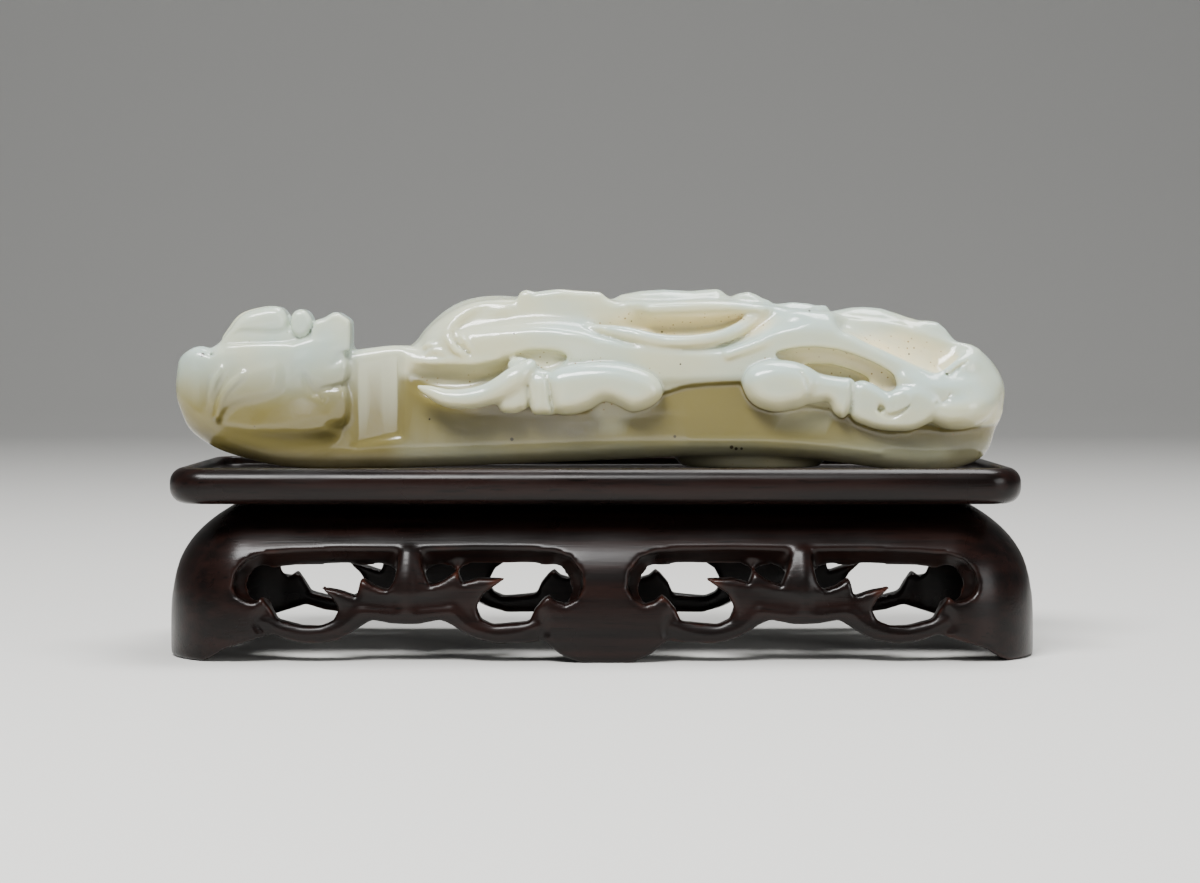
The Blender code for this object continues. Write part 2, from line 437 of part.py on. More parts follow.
def carve_chilong_back(stone):
    """The far side in the same manner and plainer: the other limbs, one long fold and shallow hollows."""
    stone.tube(
        [(-20.0, 9.2, 11.6, 1.0), (-14.0, 9.8, 12.2, 1.5), (-8.0, 9.6, 14.0, 1.0)],
        blend=0.5, wide=2.0, cut=True,
    )
    stone.tube(
        [(6.0, 9.4, 19.0, 1.2), (12.0, 9.8, 19.0, 1.9), (19.0, 9.4, 19.6, 1.1)],
        blend=0.6, wide=1.8, cut=True,
    )
    stone.tube(
        [(28.0, 10.6, 14.6, 1.2), (34.0, 10.8, 13.6, 1.8), (40.0, 10.6, 12.0, 1.1)],
        blend=0.6, wide=2.0, cut=True,
    )
    stone.tube(
        [(34.0, 9.4, 18.2, 0.9), (40.0, 9.6, 17.0, 1.4), (45.0, 9.0, 15.6, 1.0)],
        blend=0.6, wide=1.8, cut=True,
    )
    stone.leaf([(-26, 2), (-26, 8.5), (0, 7.6), (10, 10.0), (20, 10.0), (24, 7.2), (50, 6.0), (52, 2)],
        13.0, 4.2, radius=0.5, blend=0.4, cut=True)
    stone.tube([(-19.0, 5.4, 16.0, 1.7), (-10.0, 7.4, 17.0, 1.7), (0.0, 8.6, 16.4, 1.8),
        (9.0, 9.4, 15.0, 1.9), (18.0, 9.4, 14.8, 1.8), (26.0, 8.8, 16.8, 1.5), (34.0, 9.0, 15.4, 1.5),
        (41.0, 9.2, 12.6, 1.9), (48.0, 7.6, 10.4, 2.6)], blend=0.7, wide=1.25)
    stone.tube([(8.0, 9.6, 11.2, 1.6), (2.0, 10.0, 10.8, 2.6), (-5.0, 10.2, 10.4, 2.2),
        (-10.0, 10.2, 9.8, 1.6)], blend=0.4, wide=0.78)
    stone.tube([(-10.0, 10.2, 9.8, 1.5), (-16.0, 10.0, 9.6, 1.3), (-21.0, 9.6, 10.6, 0.4)], blend=0.3)
    stone.tube([(24.0, 9.8, 11.4, 3.4), (29.0, 9.8, 10.6, 2.4), (34.0, 10.0, 10.2, 1.7),
        (32.0, 9.6, 7.8, 1.1)], blend=0.4, wide=0.7)
    stone.tube([(35.0, 10.0, 9.4, 1.6), (41.0, 10.0, 7.8, 1.6), (47.0, 8.8, 8.4, 2.4),
        (50.5, 6.4, 9.6, 2.6)], blend=0.5)


def surface(far, axes):
    """The closed surface where the distance is nought, as points and outward triangles."""
    counts = far.shape
    strides = np.array([counts[1] * counts[2], counts[2], 1])
    corners = [(i & 1, i >> 1 & 1, i >> 2 & 1) for i in range(8)]
    inside = far < 0
    number = np.zeros([n - 1 for n in counts], int)
    for dx, dy, dz in corners:
        number += inside[dx : counts[0] - 1 + dx, dy : counts[1] - 1 + dy, dz : counts[2] - 1 + dz]
    cells = np.argwhere((number > 0) & (number < 8)) @ strides
    flat = far.reshape(-1)
    wedges = ((0, 1, 3, 7), (0, 1, 5, 7), (0, 2, 3, 7), (0, 2, 6, 7), (0, 4, 5, 7), (0, 4, 6, 7))
    triangles, hints = [], []
    for wedge in wedges:
        tips = cells[:, None] + np.array([np.dot(corners[i], strides) for i in wedge])[None, :]
        wet = flat[tips] < 0
        for code in range(1, 15):
            ins = [i for i in range(4) if code >> i & 1]
            outs = [i for i in range(4) if not code >> i & 1]
            rows = tips[(wet == [bool(code >> i & 1) for i in range(4)]).all(axis=1)]
            if not len(rows):
                continue
            edge = {(i, o): np.sort(rows[:, [i, o]], axis=1) for i in ins for o in outs}
            if len(ins) == 2:
                (a, b), (c, d) = ins, outs
                found = [[(a, c), (a, d), (b, d)], [(a, c), (b, d), (b, c)]]
            else:
                found = [sorted(edge)]
            for three in found:
                triangles.append(np.stack([edge[key] for key in three], axis=1))
                hints.append(np.stack([rows[:, ins[0]], rows[:, outs[0]]], axis=1))
    triangles, hints = np.concatenate(triangles), np.concatenate(hints)
    ends, index = np.unique(triangles.reshape(-1, 2), axis=0, return_inverse=True)
    faces = index.reshape(-1, 3)

    def place(flat_index):
        x, y, z = np.unravel_index(flat_index, counts)
        return np.stack([axes[0][x], axes[1][y], axes[2][z]], axis=-1)

    near, away = flat[ends[:, 0]], flat[ends[:, 1]]
    share = np.clip(near / (near - away), 0.04, 0.96)[:, None]
    points = place(ends[:, 0]) * (1 - share) + place(ends[:, 1]) * share
    normal = np.cross(points[faces[:, 1]] - points[faces[:, 0]], points[faces[:, 2]] - points[faces[:, 0]])
    outward = place(hints[:, 1]) - place(hints[:, 0])
    turned = (normal * outward).sum(axis=1) < 0
    faces[turned] = faces[turned][:, ::-1]
    return points, faces


def make_hook(material):
    """The whole jade, carved as one stone and thinned to few triangles."""
    stone = Stone((-57.0, -14.0, -1.5), (57.0, 14.0, 26.0), HOOK_STEP)
    carve_shank(stone)
    carve_button(stone)
    carve_mound(stone)
    open_front(stone)
    open_top(stone)
    carve_chilong_front(stone)
    carve_chilong_back(stone)
    carve_dragon_head(stone)
    points, faces = surface(stone.far, stone.axes)
    low, high = points.min(axis=0), points.max(axis=0)
    points = (points - [(low[0] + high[0]) / 2, 0.0, low[2]]) * (HOOK_LENGTH / (high[0] - low[0]))
    points = points + [HOOK_SHIFT, 0.0, TRAY_TOP - WELL_DEPTH + REST_GAP]
    item = object_of("belt_hook", points, faces, material)
    thin = item.modifiers.new("thin", "DECIMATE")
    thin.ratio = HOOK_TRIANGLES / len(faces)
    return item


def rounded_ring(half_x, half_y, corner, z, shift=0.0):
    """A level ring round a rectangle with rounded corners, anticlockwise from above."""
    corner = min(corner, half_x - 0.1, half_y - 0.1)
    ring = []
    for sx, sy, start in ((1, 1, 0), (-1, 1, 90), (-1, -1, 180), (1, -1, 270)):
        for step in range(CORNER_POINTS + 1):
            angle = math.radians(start + 90 * step / CORNER_POINTS)
            x = sx * (half_x - corner) + corner * math.cos(angle)
            y = sy * (half_y - corner) + corner * math.sin(angle)
            ring.append((x + shift, y, z))
    return ring


def tray_ring(inset, z):
    """A ring of the tray, set in from its edge."""
    corner = TRAY_CORNER - min(inset, 3.5)
    half_x = WAIST_LENGTH / 2 + TRAY_OVERHANG - inset
    half_y = WAIST_DEPTH / 2 + TRAY_OVERHANG_DEEP - inset
    return rounded_ring(half_x, half_y, corner, z, TRAY_SHIFT)


def base_ring(z, inset=0.0):
    """A ring of the base at a height: narrow at the waist, spreading over the shoulder to the feet."""
    below = (WAIST_BOTTOM - z) / WAIST_BOTTOM
    out = FOOT_SPREAD * (1.0 - (1.0 - below) ** SHOULDER_POWER) - inset
    return rounded_ring(WAIST_LENGTH / 2 + out, WAIST_DEPTH / 2 + out, max(WAIST_CORNER + out, 0.8), z)


def loft(name, rings, material):
    """One closed body through rings, with flat caps on the first and the last."""
    count = len(rings[0])
    points = [point for ring in rings for point in ring]
    faces = []
    for row in range(len(rings) - 1):
        for i in range(count):
            j = (i + 1) % count
            a, b = row * count, (row + 1) * count
            faces.append((a + i, b + i, b + j, a + j))
    faces.append(list(range(count)))
    faces.append([(len(rings) - 1) * count + i for i in reversed(range(count))])
    return object_of(name, points, faces, material)


def cutter(name, outline, along, eased=False):
    """A prism through the whole stand: its outline is (x, z) along Y, or (y, z) along X.

    The outlines along Y are drawn for a waist 94.8 long. An eased one is smaller inside the aprons than
    at their faces, which leaves a slanting cove at the window's top and outer ends.
    """
    outline = np.array(outline, float)
    area = np.sum(outline[:, 0] * np.roll(outline[:, 1], -1) - np.roll(outline[:, 0], -1) * outline[:, 1])
    if area < 0:
        outline = outline[::-1]
    count = len(outline)
    reach = CUT_REACH if along == "Y" else WAIST_LENGTH
    levels = [(-reach, 0.0), (reach, 0.0)]
    if eased:
        levels = [(-reach, 0.0), (-EASE_OUT, 0.0), (-EASE_IN, 1.0), (EASE_IN, 1.0), (EASE_OUT, 0.0),
            (reach, 0.0)]
    points = []
    for side, share in levels:
        for u, z in outline:
            if along == "Y":
                shift, drop = window_ease(abs(u), z) if eased else (0.0, 0.0)
                across = (u - math.copysign(1.0, u) * shift * share) * WAIST_LENGTH / 94.8
                points.append((across, side, z - drop * share))
            else:
                points.append((side, u, z))
    faces = []
    for ring in range(len(levels) - 1):
        low, high = ring * count, (ring + 1) * count
        faces += [(low + i, low + (i + 1) % count, high + (i + 1) % count, high + i) for i in range(count)]
    faces += [list(reversed(range(count))), [len(points) - count + i for i in range(count)]]
    if along == "Y":
        faces = [tuple(reversed(face)) for face in faces]
    item = object_of(name, points, faces)
    item.hide_render = True
    item.display_type = "WIRE"
    return item


def window_ease(out, z):
    """How far a window's edge moves across and down inside the apron, at a place this far out and high."""
    def smooth(value):
        value = min(max(value, 0.0), 1.0)
        return value * value * (3.0 - 2.0 * value)

    above = smooth(z - 7.4)
    shift = 3.0 * smooth((out - 40.0) / 6.0) * above - 3.5 * smooth((8.0 - out) / 5.5) * above
    return shift, 2.7 * smooth((z - 11.3) / 2.1)


def mirrored(outline):
    """The outline on the other half of the front, past the centre foot."""
    return [(2 * FRONT_MIDDLE - x, z) for x, z in outline]


def make_stand(material):
    """The whole stand: one lofted body, then the openings of its aprons cut through."""
    floor = TRAY_TOP - WELL_DEPTH
    thick = TRAY_TOP - TRAY_UNDER
    rings = [tray_ring(RIM_WIDTH + 1.0, floor), tray_ring(RIM_WIDTH + 0.3, floor + 0.25),
        tray_ring(RIM_WIDTH, TRAY_TOP - 0.3), tray_ring(RIM_WIDTH - 0.4, TRAY_TOP)]
    for step in range(7):
        angle = math.pi * step / 6
        inset = 0.42 * thick * (1.0 - math.sin(angle) ** 0.7) * 0.8
        rings.append(tray_ring(inset, TRAY_TOP - thick * (1 - math.cos(angle)) / 2))
    rings.append(rounded_ring(WAIST_LENGTH / 2, WAIST_DEPTH / 2, WAIST_CORNER, TRAY_UNDER))
    for z in (WAIST_BOTTOM, 18.9, 18.1, 17.2, 16.2, 15.2, 14.0, 12.4, 10.4, 7.6, 4.0, 0.5):
        rings.append(base_ring(z))
    rings.append(base_ring(0.0, 0.5))
    for z in (0.0, 4.0, 8.0, 11.0, 13.0, CEILING - 0.8):
        rings.append(base_ring(z, WALL))
    rings.append(base_ring(CEILING, WALL + 0.8))
    stand = loft("carved_stand", rings[::-1], material)

    window_left = [(-46.6, 9.6), (-46.3, 11.3), (-45.2, 12.7), (-43.0, 13.6), (-39.0, 14.1),
        (-33.0, 14.4), (-25.5, 14.2), (-26.0, 12.4), (-27.0, 9.1), (-28.8, 9.6), (-30.4, 10.6),
        (-31.0, 8.3), (-33.0, 9.0), (-35.3, 9.5), (-33.8, 8.1), (-33.2, 6.8), (-33.9, 5.3), (-35.4, 4.5),
        (-38.0, 4.6), (-41.0, 5.4), (-41.8, 6.8), (-42.9, 8.3), (-43.8, 7.6), (-45.0, 7.8), (-46.1, 8.5)]
    window_right = [(-23.1, 14.2), (-22.2, 11.5), (-21.3, 9.7), (-20.2, 10.2), (-18.4, 11.5),
        (-17.7, 9.9), (-15.4, 10.6), (-12.4, 10.4), (-15.0, 8.6), (-15.9, 6.9), (-15.3, 5.4),
        (-13.8, 4.7), (-11.6, 4.9), (-9.2, 5.1), (-8.5, 6.7), (-7.4, 8.0), (-6.7, 8.5), (-5.9, 7.7),
        (-4.6, 7.3), (-3.2, 8.0), (-2.4, 9.4), (-2.6, 11.3), (-4.0, 13.1), (-6.0, 14.0), (-9.0, 14.5),
        (-16.0, 14.6)]
    under_front = [(-50.3, -1.0), (-50.3, 0.1), (-47.7, 1.7), (-45.5, 2.4), (-41.6, 3.6), (-39.0, 2.8),
        (-36.4, 2.45), (-33.4, 2.8), (-31.0, 4.2), (-28.9, 5.5), (-26.6, 5.0), (-23.2, 4.9),
        (-20.6, 5.5), (-18.5, 4.6), (-16.0, 3.3), (-13.4, 2.45), (-9.5, 2.5), (-7.4, 2.8), (-5.2, 1.0),
        (-3.2, 0.1), (-3.2, -1.0)]
    half_end = [(0.0, 12.6), (4.0, 12.2), (8.0, 12.8), (10.6, 11.4), (11.2, 9.0), (9.6, 7.2), (7.6, 7.0),
        (5.4, 5.8), (2.6, 6.4), (0.0, 8.0)]
    window_end = half_end + [(-y, z) for y, z in reversed(half_end[1:-1])]
    half_under = [(11.0, -1.0), (11.0, 0.1), (8.6, 2.2), (5.2, 2.8), (2.4, 2.8), (0.0, 3.8)]
    under_end = half_under + [(-y, z) for y, z in reversed(half_under[:-1])]
    cutters = [
        cutter("cut_window_left", window_left, "Y", True),
        cutter("cut_window_right", window_right, "Y", True),
        cutter("cut_window_left_far", mirrored(window_left), "Y", True),
        cutter("cut_window_right_far", mirrored(window_right), "Y", True),
        cutter("cut_under_left", under_front, "Y"),
        cutter("cut_under_right", mirrored(under_front), "Y"),
        cutter("cut_window_end", window_end, "X"),
        cutter("cut_under_end", under_end, "X"),
    ]
    for item in cutters:
        cut = stand.modifiers.new(item.name, "BOOLEAN")
        cut.operation = "DIFFERENCE"
        cut.solver = "EXACT"
        cut.object = item
    return stand


clear_scene()
jade = material_of("nephrite", JADE_COLOUR, 0.35)
wood = material_of("hardwood", WOOD_COLOUR, 0.4)
make_hook(jade)
make_stand(wood)
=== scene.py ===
# %% [markdown]
# # A jade belt hook on its carved stand
# The real object is two pieces. The hook is one pale nephrite stone: a dragon head looks back over a plain neck at a
# chilong, a hornless dragon, that crawls over the bar in openwork. The stand is one piece of dark hardwood with a
# tray, a narrow waist and a base of carved scrolls. Both were cut from a block, so here both are cut from a block too.

import math

import bpy
import numpy as np
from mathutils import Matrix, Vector


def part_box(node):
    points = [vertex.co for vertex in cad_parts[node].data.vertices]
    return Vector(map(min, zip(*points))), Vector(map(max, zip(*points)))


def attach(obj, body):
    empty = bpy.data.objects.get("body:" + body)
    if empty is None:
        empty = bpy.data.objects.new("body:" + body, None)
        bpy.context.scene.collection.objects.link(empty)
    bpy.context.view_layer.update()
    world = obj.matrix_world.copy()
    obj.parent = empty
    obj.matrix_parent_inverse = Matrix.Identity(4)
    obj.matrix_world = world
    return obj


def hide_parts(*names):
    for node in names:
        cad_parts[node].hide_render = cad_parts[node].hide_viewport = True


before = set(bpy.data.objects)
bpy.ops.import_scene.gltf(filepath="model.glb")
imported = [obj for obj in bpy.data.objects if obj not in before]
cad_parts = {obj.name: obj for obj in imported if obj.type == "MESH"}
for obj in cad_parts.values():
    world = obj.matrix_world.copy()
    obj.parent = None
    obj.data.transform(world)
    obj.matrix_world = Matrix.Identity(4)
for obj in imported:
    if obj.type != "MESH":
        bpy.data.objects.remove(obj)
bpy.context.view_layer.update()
MM = 0.001
hook_low, hook_high = [np.array(corner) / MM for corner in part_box("belt_hook")]
stand_low, stand_high = [np.array(corner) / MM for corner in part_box("carved_stand")]
print("hook from", hook_low.round(1), "to", hook_high.round(1), "mm")
print("stand from", stand_low.round(1), "to", stand_high.round(1), "mm")

# %% [markdown]
# ## A block to carve
# A carver starts with a block and takes away. The block here is a grid of points, and each point holds its distance
# from the surface: below nought inside the stone, above nought outside. Adding a form takes the smaller of two
# distances and cutting takes the larger, and a soft version of each leaves the small fillets that a carver's wheel
# leaves. A sphere or a cube pushed about by hand would not give the openwork, so both pieces are made this way.

# %% Soft unions, cuts and rounded overlaps
def soft_min(a, b, blend):
    share = np.clip(0.5 + 0.5 * (b - a) / blend, 0.0, 1.0)
    return b + (a - b) * share - blend * share * (1.0 - share)


def soft_max(a, b, blend):
    return -soft_min(-a, -b, blend)


def round_max(a, b, radius):
    reach = np.hypot(np.maximum(a + radius, 0.0), np.maximum(b + radius, 0.0))
    return np.minimum(-radius, np.maximum(a, b)) + reach


print("union of two touching walls:", round(float(soft_min(0.0, 0.0, 0.4)), 2), "mm of fillet")

# %% [markdown]
# ## Paths and outlines
# Limbs, folds and claws follow smooth paths through a few places. Flat forms, such as the stand's windows, follow
# closed outlines. One function runs a smooth curve through places, and one measures how far a point is from an
# outline.

# %% Smooth paths and distances from outlines
STEPS_PER_SPAN = 6


def spline(knots, closed=False):
    knots = np.asarray(knots, float)
    if closed:
        padded = np.vstack([knots[-1:], knots, knots[:2]])
    else:
        padded = np.vstack([2 * knots[0] - knots[1], knots, 2 * knots[-1] - knots[-2]])
    path = []
    for p0, p1, p2, p3 in zip(padded[:-3], padded[1:-2], padded[2:-1], padded[3:]):
        for step in range(STEPS_PER_SPAN):
            t = step / STEPS_PER_SPAN
            curve = 2 * p1 + (p2 - p0) * t
            curve = curve + (2 * p0 - 5 * p1 + 4 * p2 - p3) * t * t
            curve = curve + (3 * p1 - p0 - 3 * p2 + p3) * t * t * t
            path.append(0.5 * curve)
    if not closed:
        path.append(knots[-1])
    return np.array(path)


def outline_distance(outline, u, v):
    nearest = np.full(np.broadcast(u, v).shape, 1e9)
    inside = np.zeros(nearest.shape, bool)
    for (au, av), (bu, bv) in zip(outline, np.roll(outline, -1, axis=0)):
        run, rise = bu - au, bv - av
        share = np.clip(((u - au) * run + (v - av) * rise) / (run * run + rise * rise + 1e-12), 0.0, 1.0)
        gap = (u - au - share * run) ** 2 + (v - av - share * rise) ** 2
        nearest = np.minimum(nearest, gap)
        if av != bv:
            inside ^= ((av > v) != (bv > v)) & (u < au + (v - av) / rise * run)
    return np.where(inside, -1.0, 1.0) * np.sqrt(nearest)


square = np.array([(0, 0), (4, 0), (4, 4), (0, 4)], float)
print("middle of a 4 mm square is", float(outline_distance(square, np.array(2.0), np.array(2.0))), "mm from its edge")

# %% [markdown]
# ## The block's tools
# Three tools do the carving: a tube along a path, for limbs, folds and grooves; a leaf, a flat plate with an outline,
# for ears, plates and windows; and a slab that has one outline from the side and another from above, for the big
# masses. Each works only on the part of the block that it reaches, which keeps the script quick.

# %% The block of points
OUT_OF_REACH = 9.0
POCKET_MOUTH = 14.0  # mm from the middle, beyond the stone's widest place


class Block:
    def __init__(self, low, high, step):
        self.step = step
        self.axes = [np.arange(a, b + step, step) for a, b in zip(low, high)]
        self.x = self.axes[0][:, None, None]
        self.y = self.axes[1][None, :, None]
        self.z = self.axes[2][None, None, :]
        self.far = np.full([len(axis) for axis in self.axes], OUT_OF_REACH, np.float32)

    def slab(self, side, plan, radius, low_radius=None):
        from_side = outline_distance(side, self.axes[0][:, None], self.axes[2][None, :])[:, None, :]
        from_top = outline_distance(plan, self.axes[0][:, None], self.axes[1][None, :])[:, :, None]
        if low_radius is not None:  # rounder low down, from 9 mm up to 4 mm
            share = np.clip((self.z - 4.0) / 5.0, 0.0, 1.0)
            radius = low_radius + (radius - low_radius) * share
        return round_max(from_side.astype(np.float32), from_top.astype(np.float32), radius)

    def box(self, low, high):
        cut = []
        for axis, a, b in zip(self.axes, low, high):
            first = int(np.clip(np.searchsorted(axis, a) - 1, 0, len(axis) - 2))
            last = int(np.clip(np.searchsorted(axis, b) + 1, first + 2, len(axis)))
            cut.append(slice(first, last))
        return tuple(cut)

    def blend(self, place, distance, blend, cut):
        old = self.far[place]
        self.far[place] = soft_max(old, -distance, blend) if cut else soft_min(old, distance, blend)

    def tube(self, knots, blend=0.6, wide=1.0, cut=False):
        path = spline(knots)
        reach = path[:, 3].max() * max(wide, 1.0) + blend + 2 * self.step
        place = self.box(path[:, :3].min(axis=0) - reach, path[:, :3].max(axis=0) + reach)
        x, y, z = self.x[place[0]], self.y[:, place[1]] / wide, self.z[:, :, place[2]]
        path[:, 1] /= wide
        distance = np.full(self.far[place].shape, OUT_OF_REACH, np.float32)
        for a, b in zip(path[:-1], path[1:]):
            run = b - a
            share = (x - a[0]) * run[0] + (y - a[1]) * run[1] + (z - a[2]) * run[2]
            share = np.clip(share / (run[:3] @ run[:3] + 1e-12), 0.0, 1.0)
            gap = (x - a[0] - share * run[0]) ** 2
            gap = gap + (y - a[1] - share * run[1]) ** 2
            gap = gap + (z - a[2] - share * run[2]) ** 2
            distance = np.minimum(distance, np.sqrt(gap) - a[3] - share * run[3])
        self.blend(place, distance, blend, cut)

    def ball(self, centre, radii, turn=0.0, blend=0.6, cut=False):
        centre, radii = np.array(centre, float), np.array(radii, float)
        reach = radii.max() + blend + 2 * self.step
        place = self.box(centre - reach, centre + reach)
        x, y, z = self.x[place[0]], self.y[:, place[1]], self.z[:, :, place[2]]
        cosine, sine = math.cos(math.radians(turn)), math.sin(math.radians(turn))
        along = ((x - centre[0]) * cosine + (z - centre[2]) * sine) / radii[0]
        over = ((z - centre[2]) * cosine - (x - centre[0]) * sine) / radii[2]
        across = (y - centre[1]) / radii[1]
        distance = (np.sqrt(along**2 + over**2 + across**2) - 1.0) * radii.min()
        self.blend(place, distance, blend, cut)

    def leaf(self, outline, centre_y, half, radius=0.5, blend=0.4, cut=False):
        outline = np.asarray(outline, float)
        reach = blend + 2 * self.step + 0.5
        low = (outline[:, 0].min() - reach, centre_y - half - reach, outline[:, 1].min() - reach)
        high = (outline[:, 0].max() + reach, centre_y + half + reach, outline[:, 1].max() + reach)
        place = self.box(low, high)
        flat = outline_distance(outline, self.axes[0][place[0]][:, None], self.axes[2][place[2]][None, :])
        distance = round_max(flat[:, None, :], np.abs(self.y[:, place[1]] - centre_y) - half, radius)
        self.blend(place, distance, blend, cut)

    def pocket(self, outline, wall, radius, blend):
        middle, half = -(POCKET_MOUTH + wall) / 2, (POCKET_MOUTH - wall) / 2
        self.leaf(spline(outline, closed=True), middle, half, radius, blend, True)

    def pad(self, outline, centre_y, half, radius, blend):
        self.leaf(spline(outline, closed=True), centre_y, half, radius, blend)


def both(*paths):
    return [form for knots in paths for form in (knots, [(x, -y, *rest) for x, y, *rest in knots])]


def seen_from_above(half_widths):
    there = [(x, -width) for x, width in half_widths]
    return spline(there + [(x, width) for x, width in reversed(half_widths)], closed=True)


HOOK_STEP = 0.29
stone = Block((-57.0, -13.6, -1.2), (57.0, 13.6, 25.6), HOOK_STEP)
print("the stone's block has", stone.far.size, "points,", HOOK_STEP, "mm apart")

# %% [markdown]
# ## The bar
# The bar is what makes it a hook: flat-sided at the neck, arched beneath so that it stands on its two low ends, and
# rounded at the heel. Seen from the side it has one outline and from above another, and both are cut from the slab.

# %% Bar and button
NECK_HALF_WIDTH = 6.6
BODY_HALF_WIDTH = 9.0
HEAD_HALF_WIDTH = 8.2
BUTTON_HALF_LENGTH = 11.2
BUTTON_HALF_WIDTH = 7.0
BUTTON_DEPTH = 2.2
BUTTON_PLACE = 21.2
BUTTON_TOP, BUTTON_SLANT, BUTTON_MIDDLE = 2.4, 0.18, 1.6
BAR_ROUNDING, UNDERSIDE_ROUNDING = 1.8, 3.0
side = spline([(-55.1, 10.2), (-54.5, 7.6), (-53.1, 5.1), (-49.7, 2.8), (-45.6, 1.4), (-40.8, 0.3),
    (-33.7, -0.1), (-20.5, 0.2), (-2.7, 1.0), (14.4, 1.7), (26.7, 1.5), (39.0, 0.0), (45.8, -0.3),
    (50.6, 0.8), (53.1, 2.6), (54.4, 5.4), (55.0, 8.4), (53.1, 11.1), (46.4, 12.2), (27.8, 13.0),
    (1.1, 13.2), (-16.3, 14.8), (-24.7, 16.2), (-31.9, 15.6), (-41.6, 15.4), (-51.6, 15.1),
    (-54.1, 13.5)], closed=True)
half = [(-55.2, 3.6), (-52.6, 6.4), (-46.0, 7.6), (-38.0, 7.3), (-33.0, NECK_HALF_WIDTH),
    (-25.0, NECK_HALF_WIDTH + 0.2), (-12.0, 7.9), (8.0, BODY_HALF_WIDTH), (30.0, BODY_HALF_WIDTH + 0.2),
    (43.0, 8.2), (51.0, 5.6), (54.2, 2.4)]
stone.far = stone.slab(side, seen_from_above(half), BAR_ROUNDING, UNDERSIDE_ROUNDING)
# The oval button under the shank, slanting in to its flat end.
x, y = stone.x - BUTTON_PLACE, stone.y
taper = 1.0 - BUTTON_SLANT * np.clip((BUTTON_TOP - stone.z) / BUTTON_DEPTH, 0.0, 1.1)
oval = np.sqrt((x / (BUTTON_HALF_LENGTH * taper)) ** 2 + (y / (BUTTON_HALF_WIDTH * taper)) ** 2) - 1.0
disc = round_max(oval * BUTTON_HALF_WIDTH, np.abs(stone.z - BUTTON_MIDDLE) - BUTTON_MIDDLE + 0.05, 0.35)
stone.far = soft_min(stone.far, disc, 0.3)
bar_alone = stone.far.copy()
print("bar and button take", int((stone.far < 0).sum() * HOOK_STEP**3), "cubic mm")

# %% [markdown]
# ## The chilong's mass and its hollows
# The chilong is first one long mass over the bar. Then the hollows are drilled and ground away: under the chin, behind
# the shoulder, over the thigh and beside the tail. On the real hook these are where honey-coloured skin and dust stay.

# %% Mass, then hollows
side = spline([(-24.1, 15.9), (-22.8, 17.2), (-20.7, 19.1), (-18.3, 20.7), (-16.0, 21.7), (-12.8, 22.2),
    (-9.6, 22.2), (-4.3, 21.9), (6.4, 22.0), (17.1, 22.2), (26.4, 21.0), (35.8, 20.2), (43.1, 18.4),
    (47.6, 16.8), (49.9, 16.3), (51.4, 15.4), (52.7, 14.3), (54.3, 12.7), (55.2, 11.5), (55.6, 10.2),
    (55.3, 8.6), (54.8, 6.8), (53.1, 5.2), (49.1, 5.0), (38.4, 5.2), (22.4, 6.3), (6.4, 6.3),
    (-6.9, 6.3), (-20.3, 7.6)], closed=True)
half = [(-24.6, 3.6), (-22.6, 6.2), (-19.5, 7.2), (-14.0, 8.0), (-6.0, 8.8), (2.0, 9.3), (10.0, 9.5),
    (20.0, 9.5), (36.0, 9.7), (44.0, 9.3), (49.0, 8.2), (53.0, 6.4), (55.5, 3.0)]
MASS_ROUNDING = 3.2
stone.far = soft_min(stone.far, stone.slab(side, seen_from_above(half), MASS_ROUNDING), 0.6)
whole_mass = stone.far.copy()
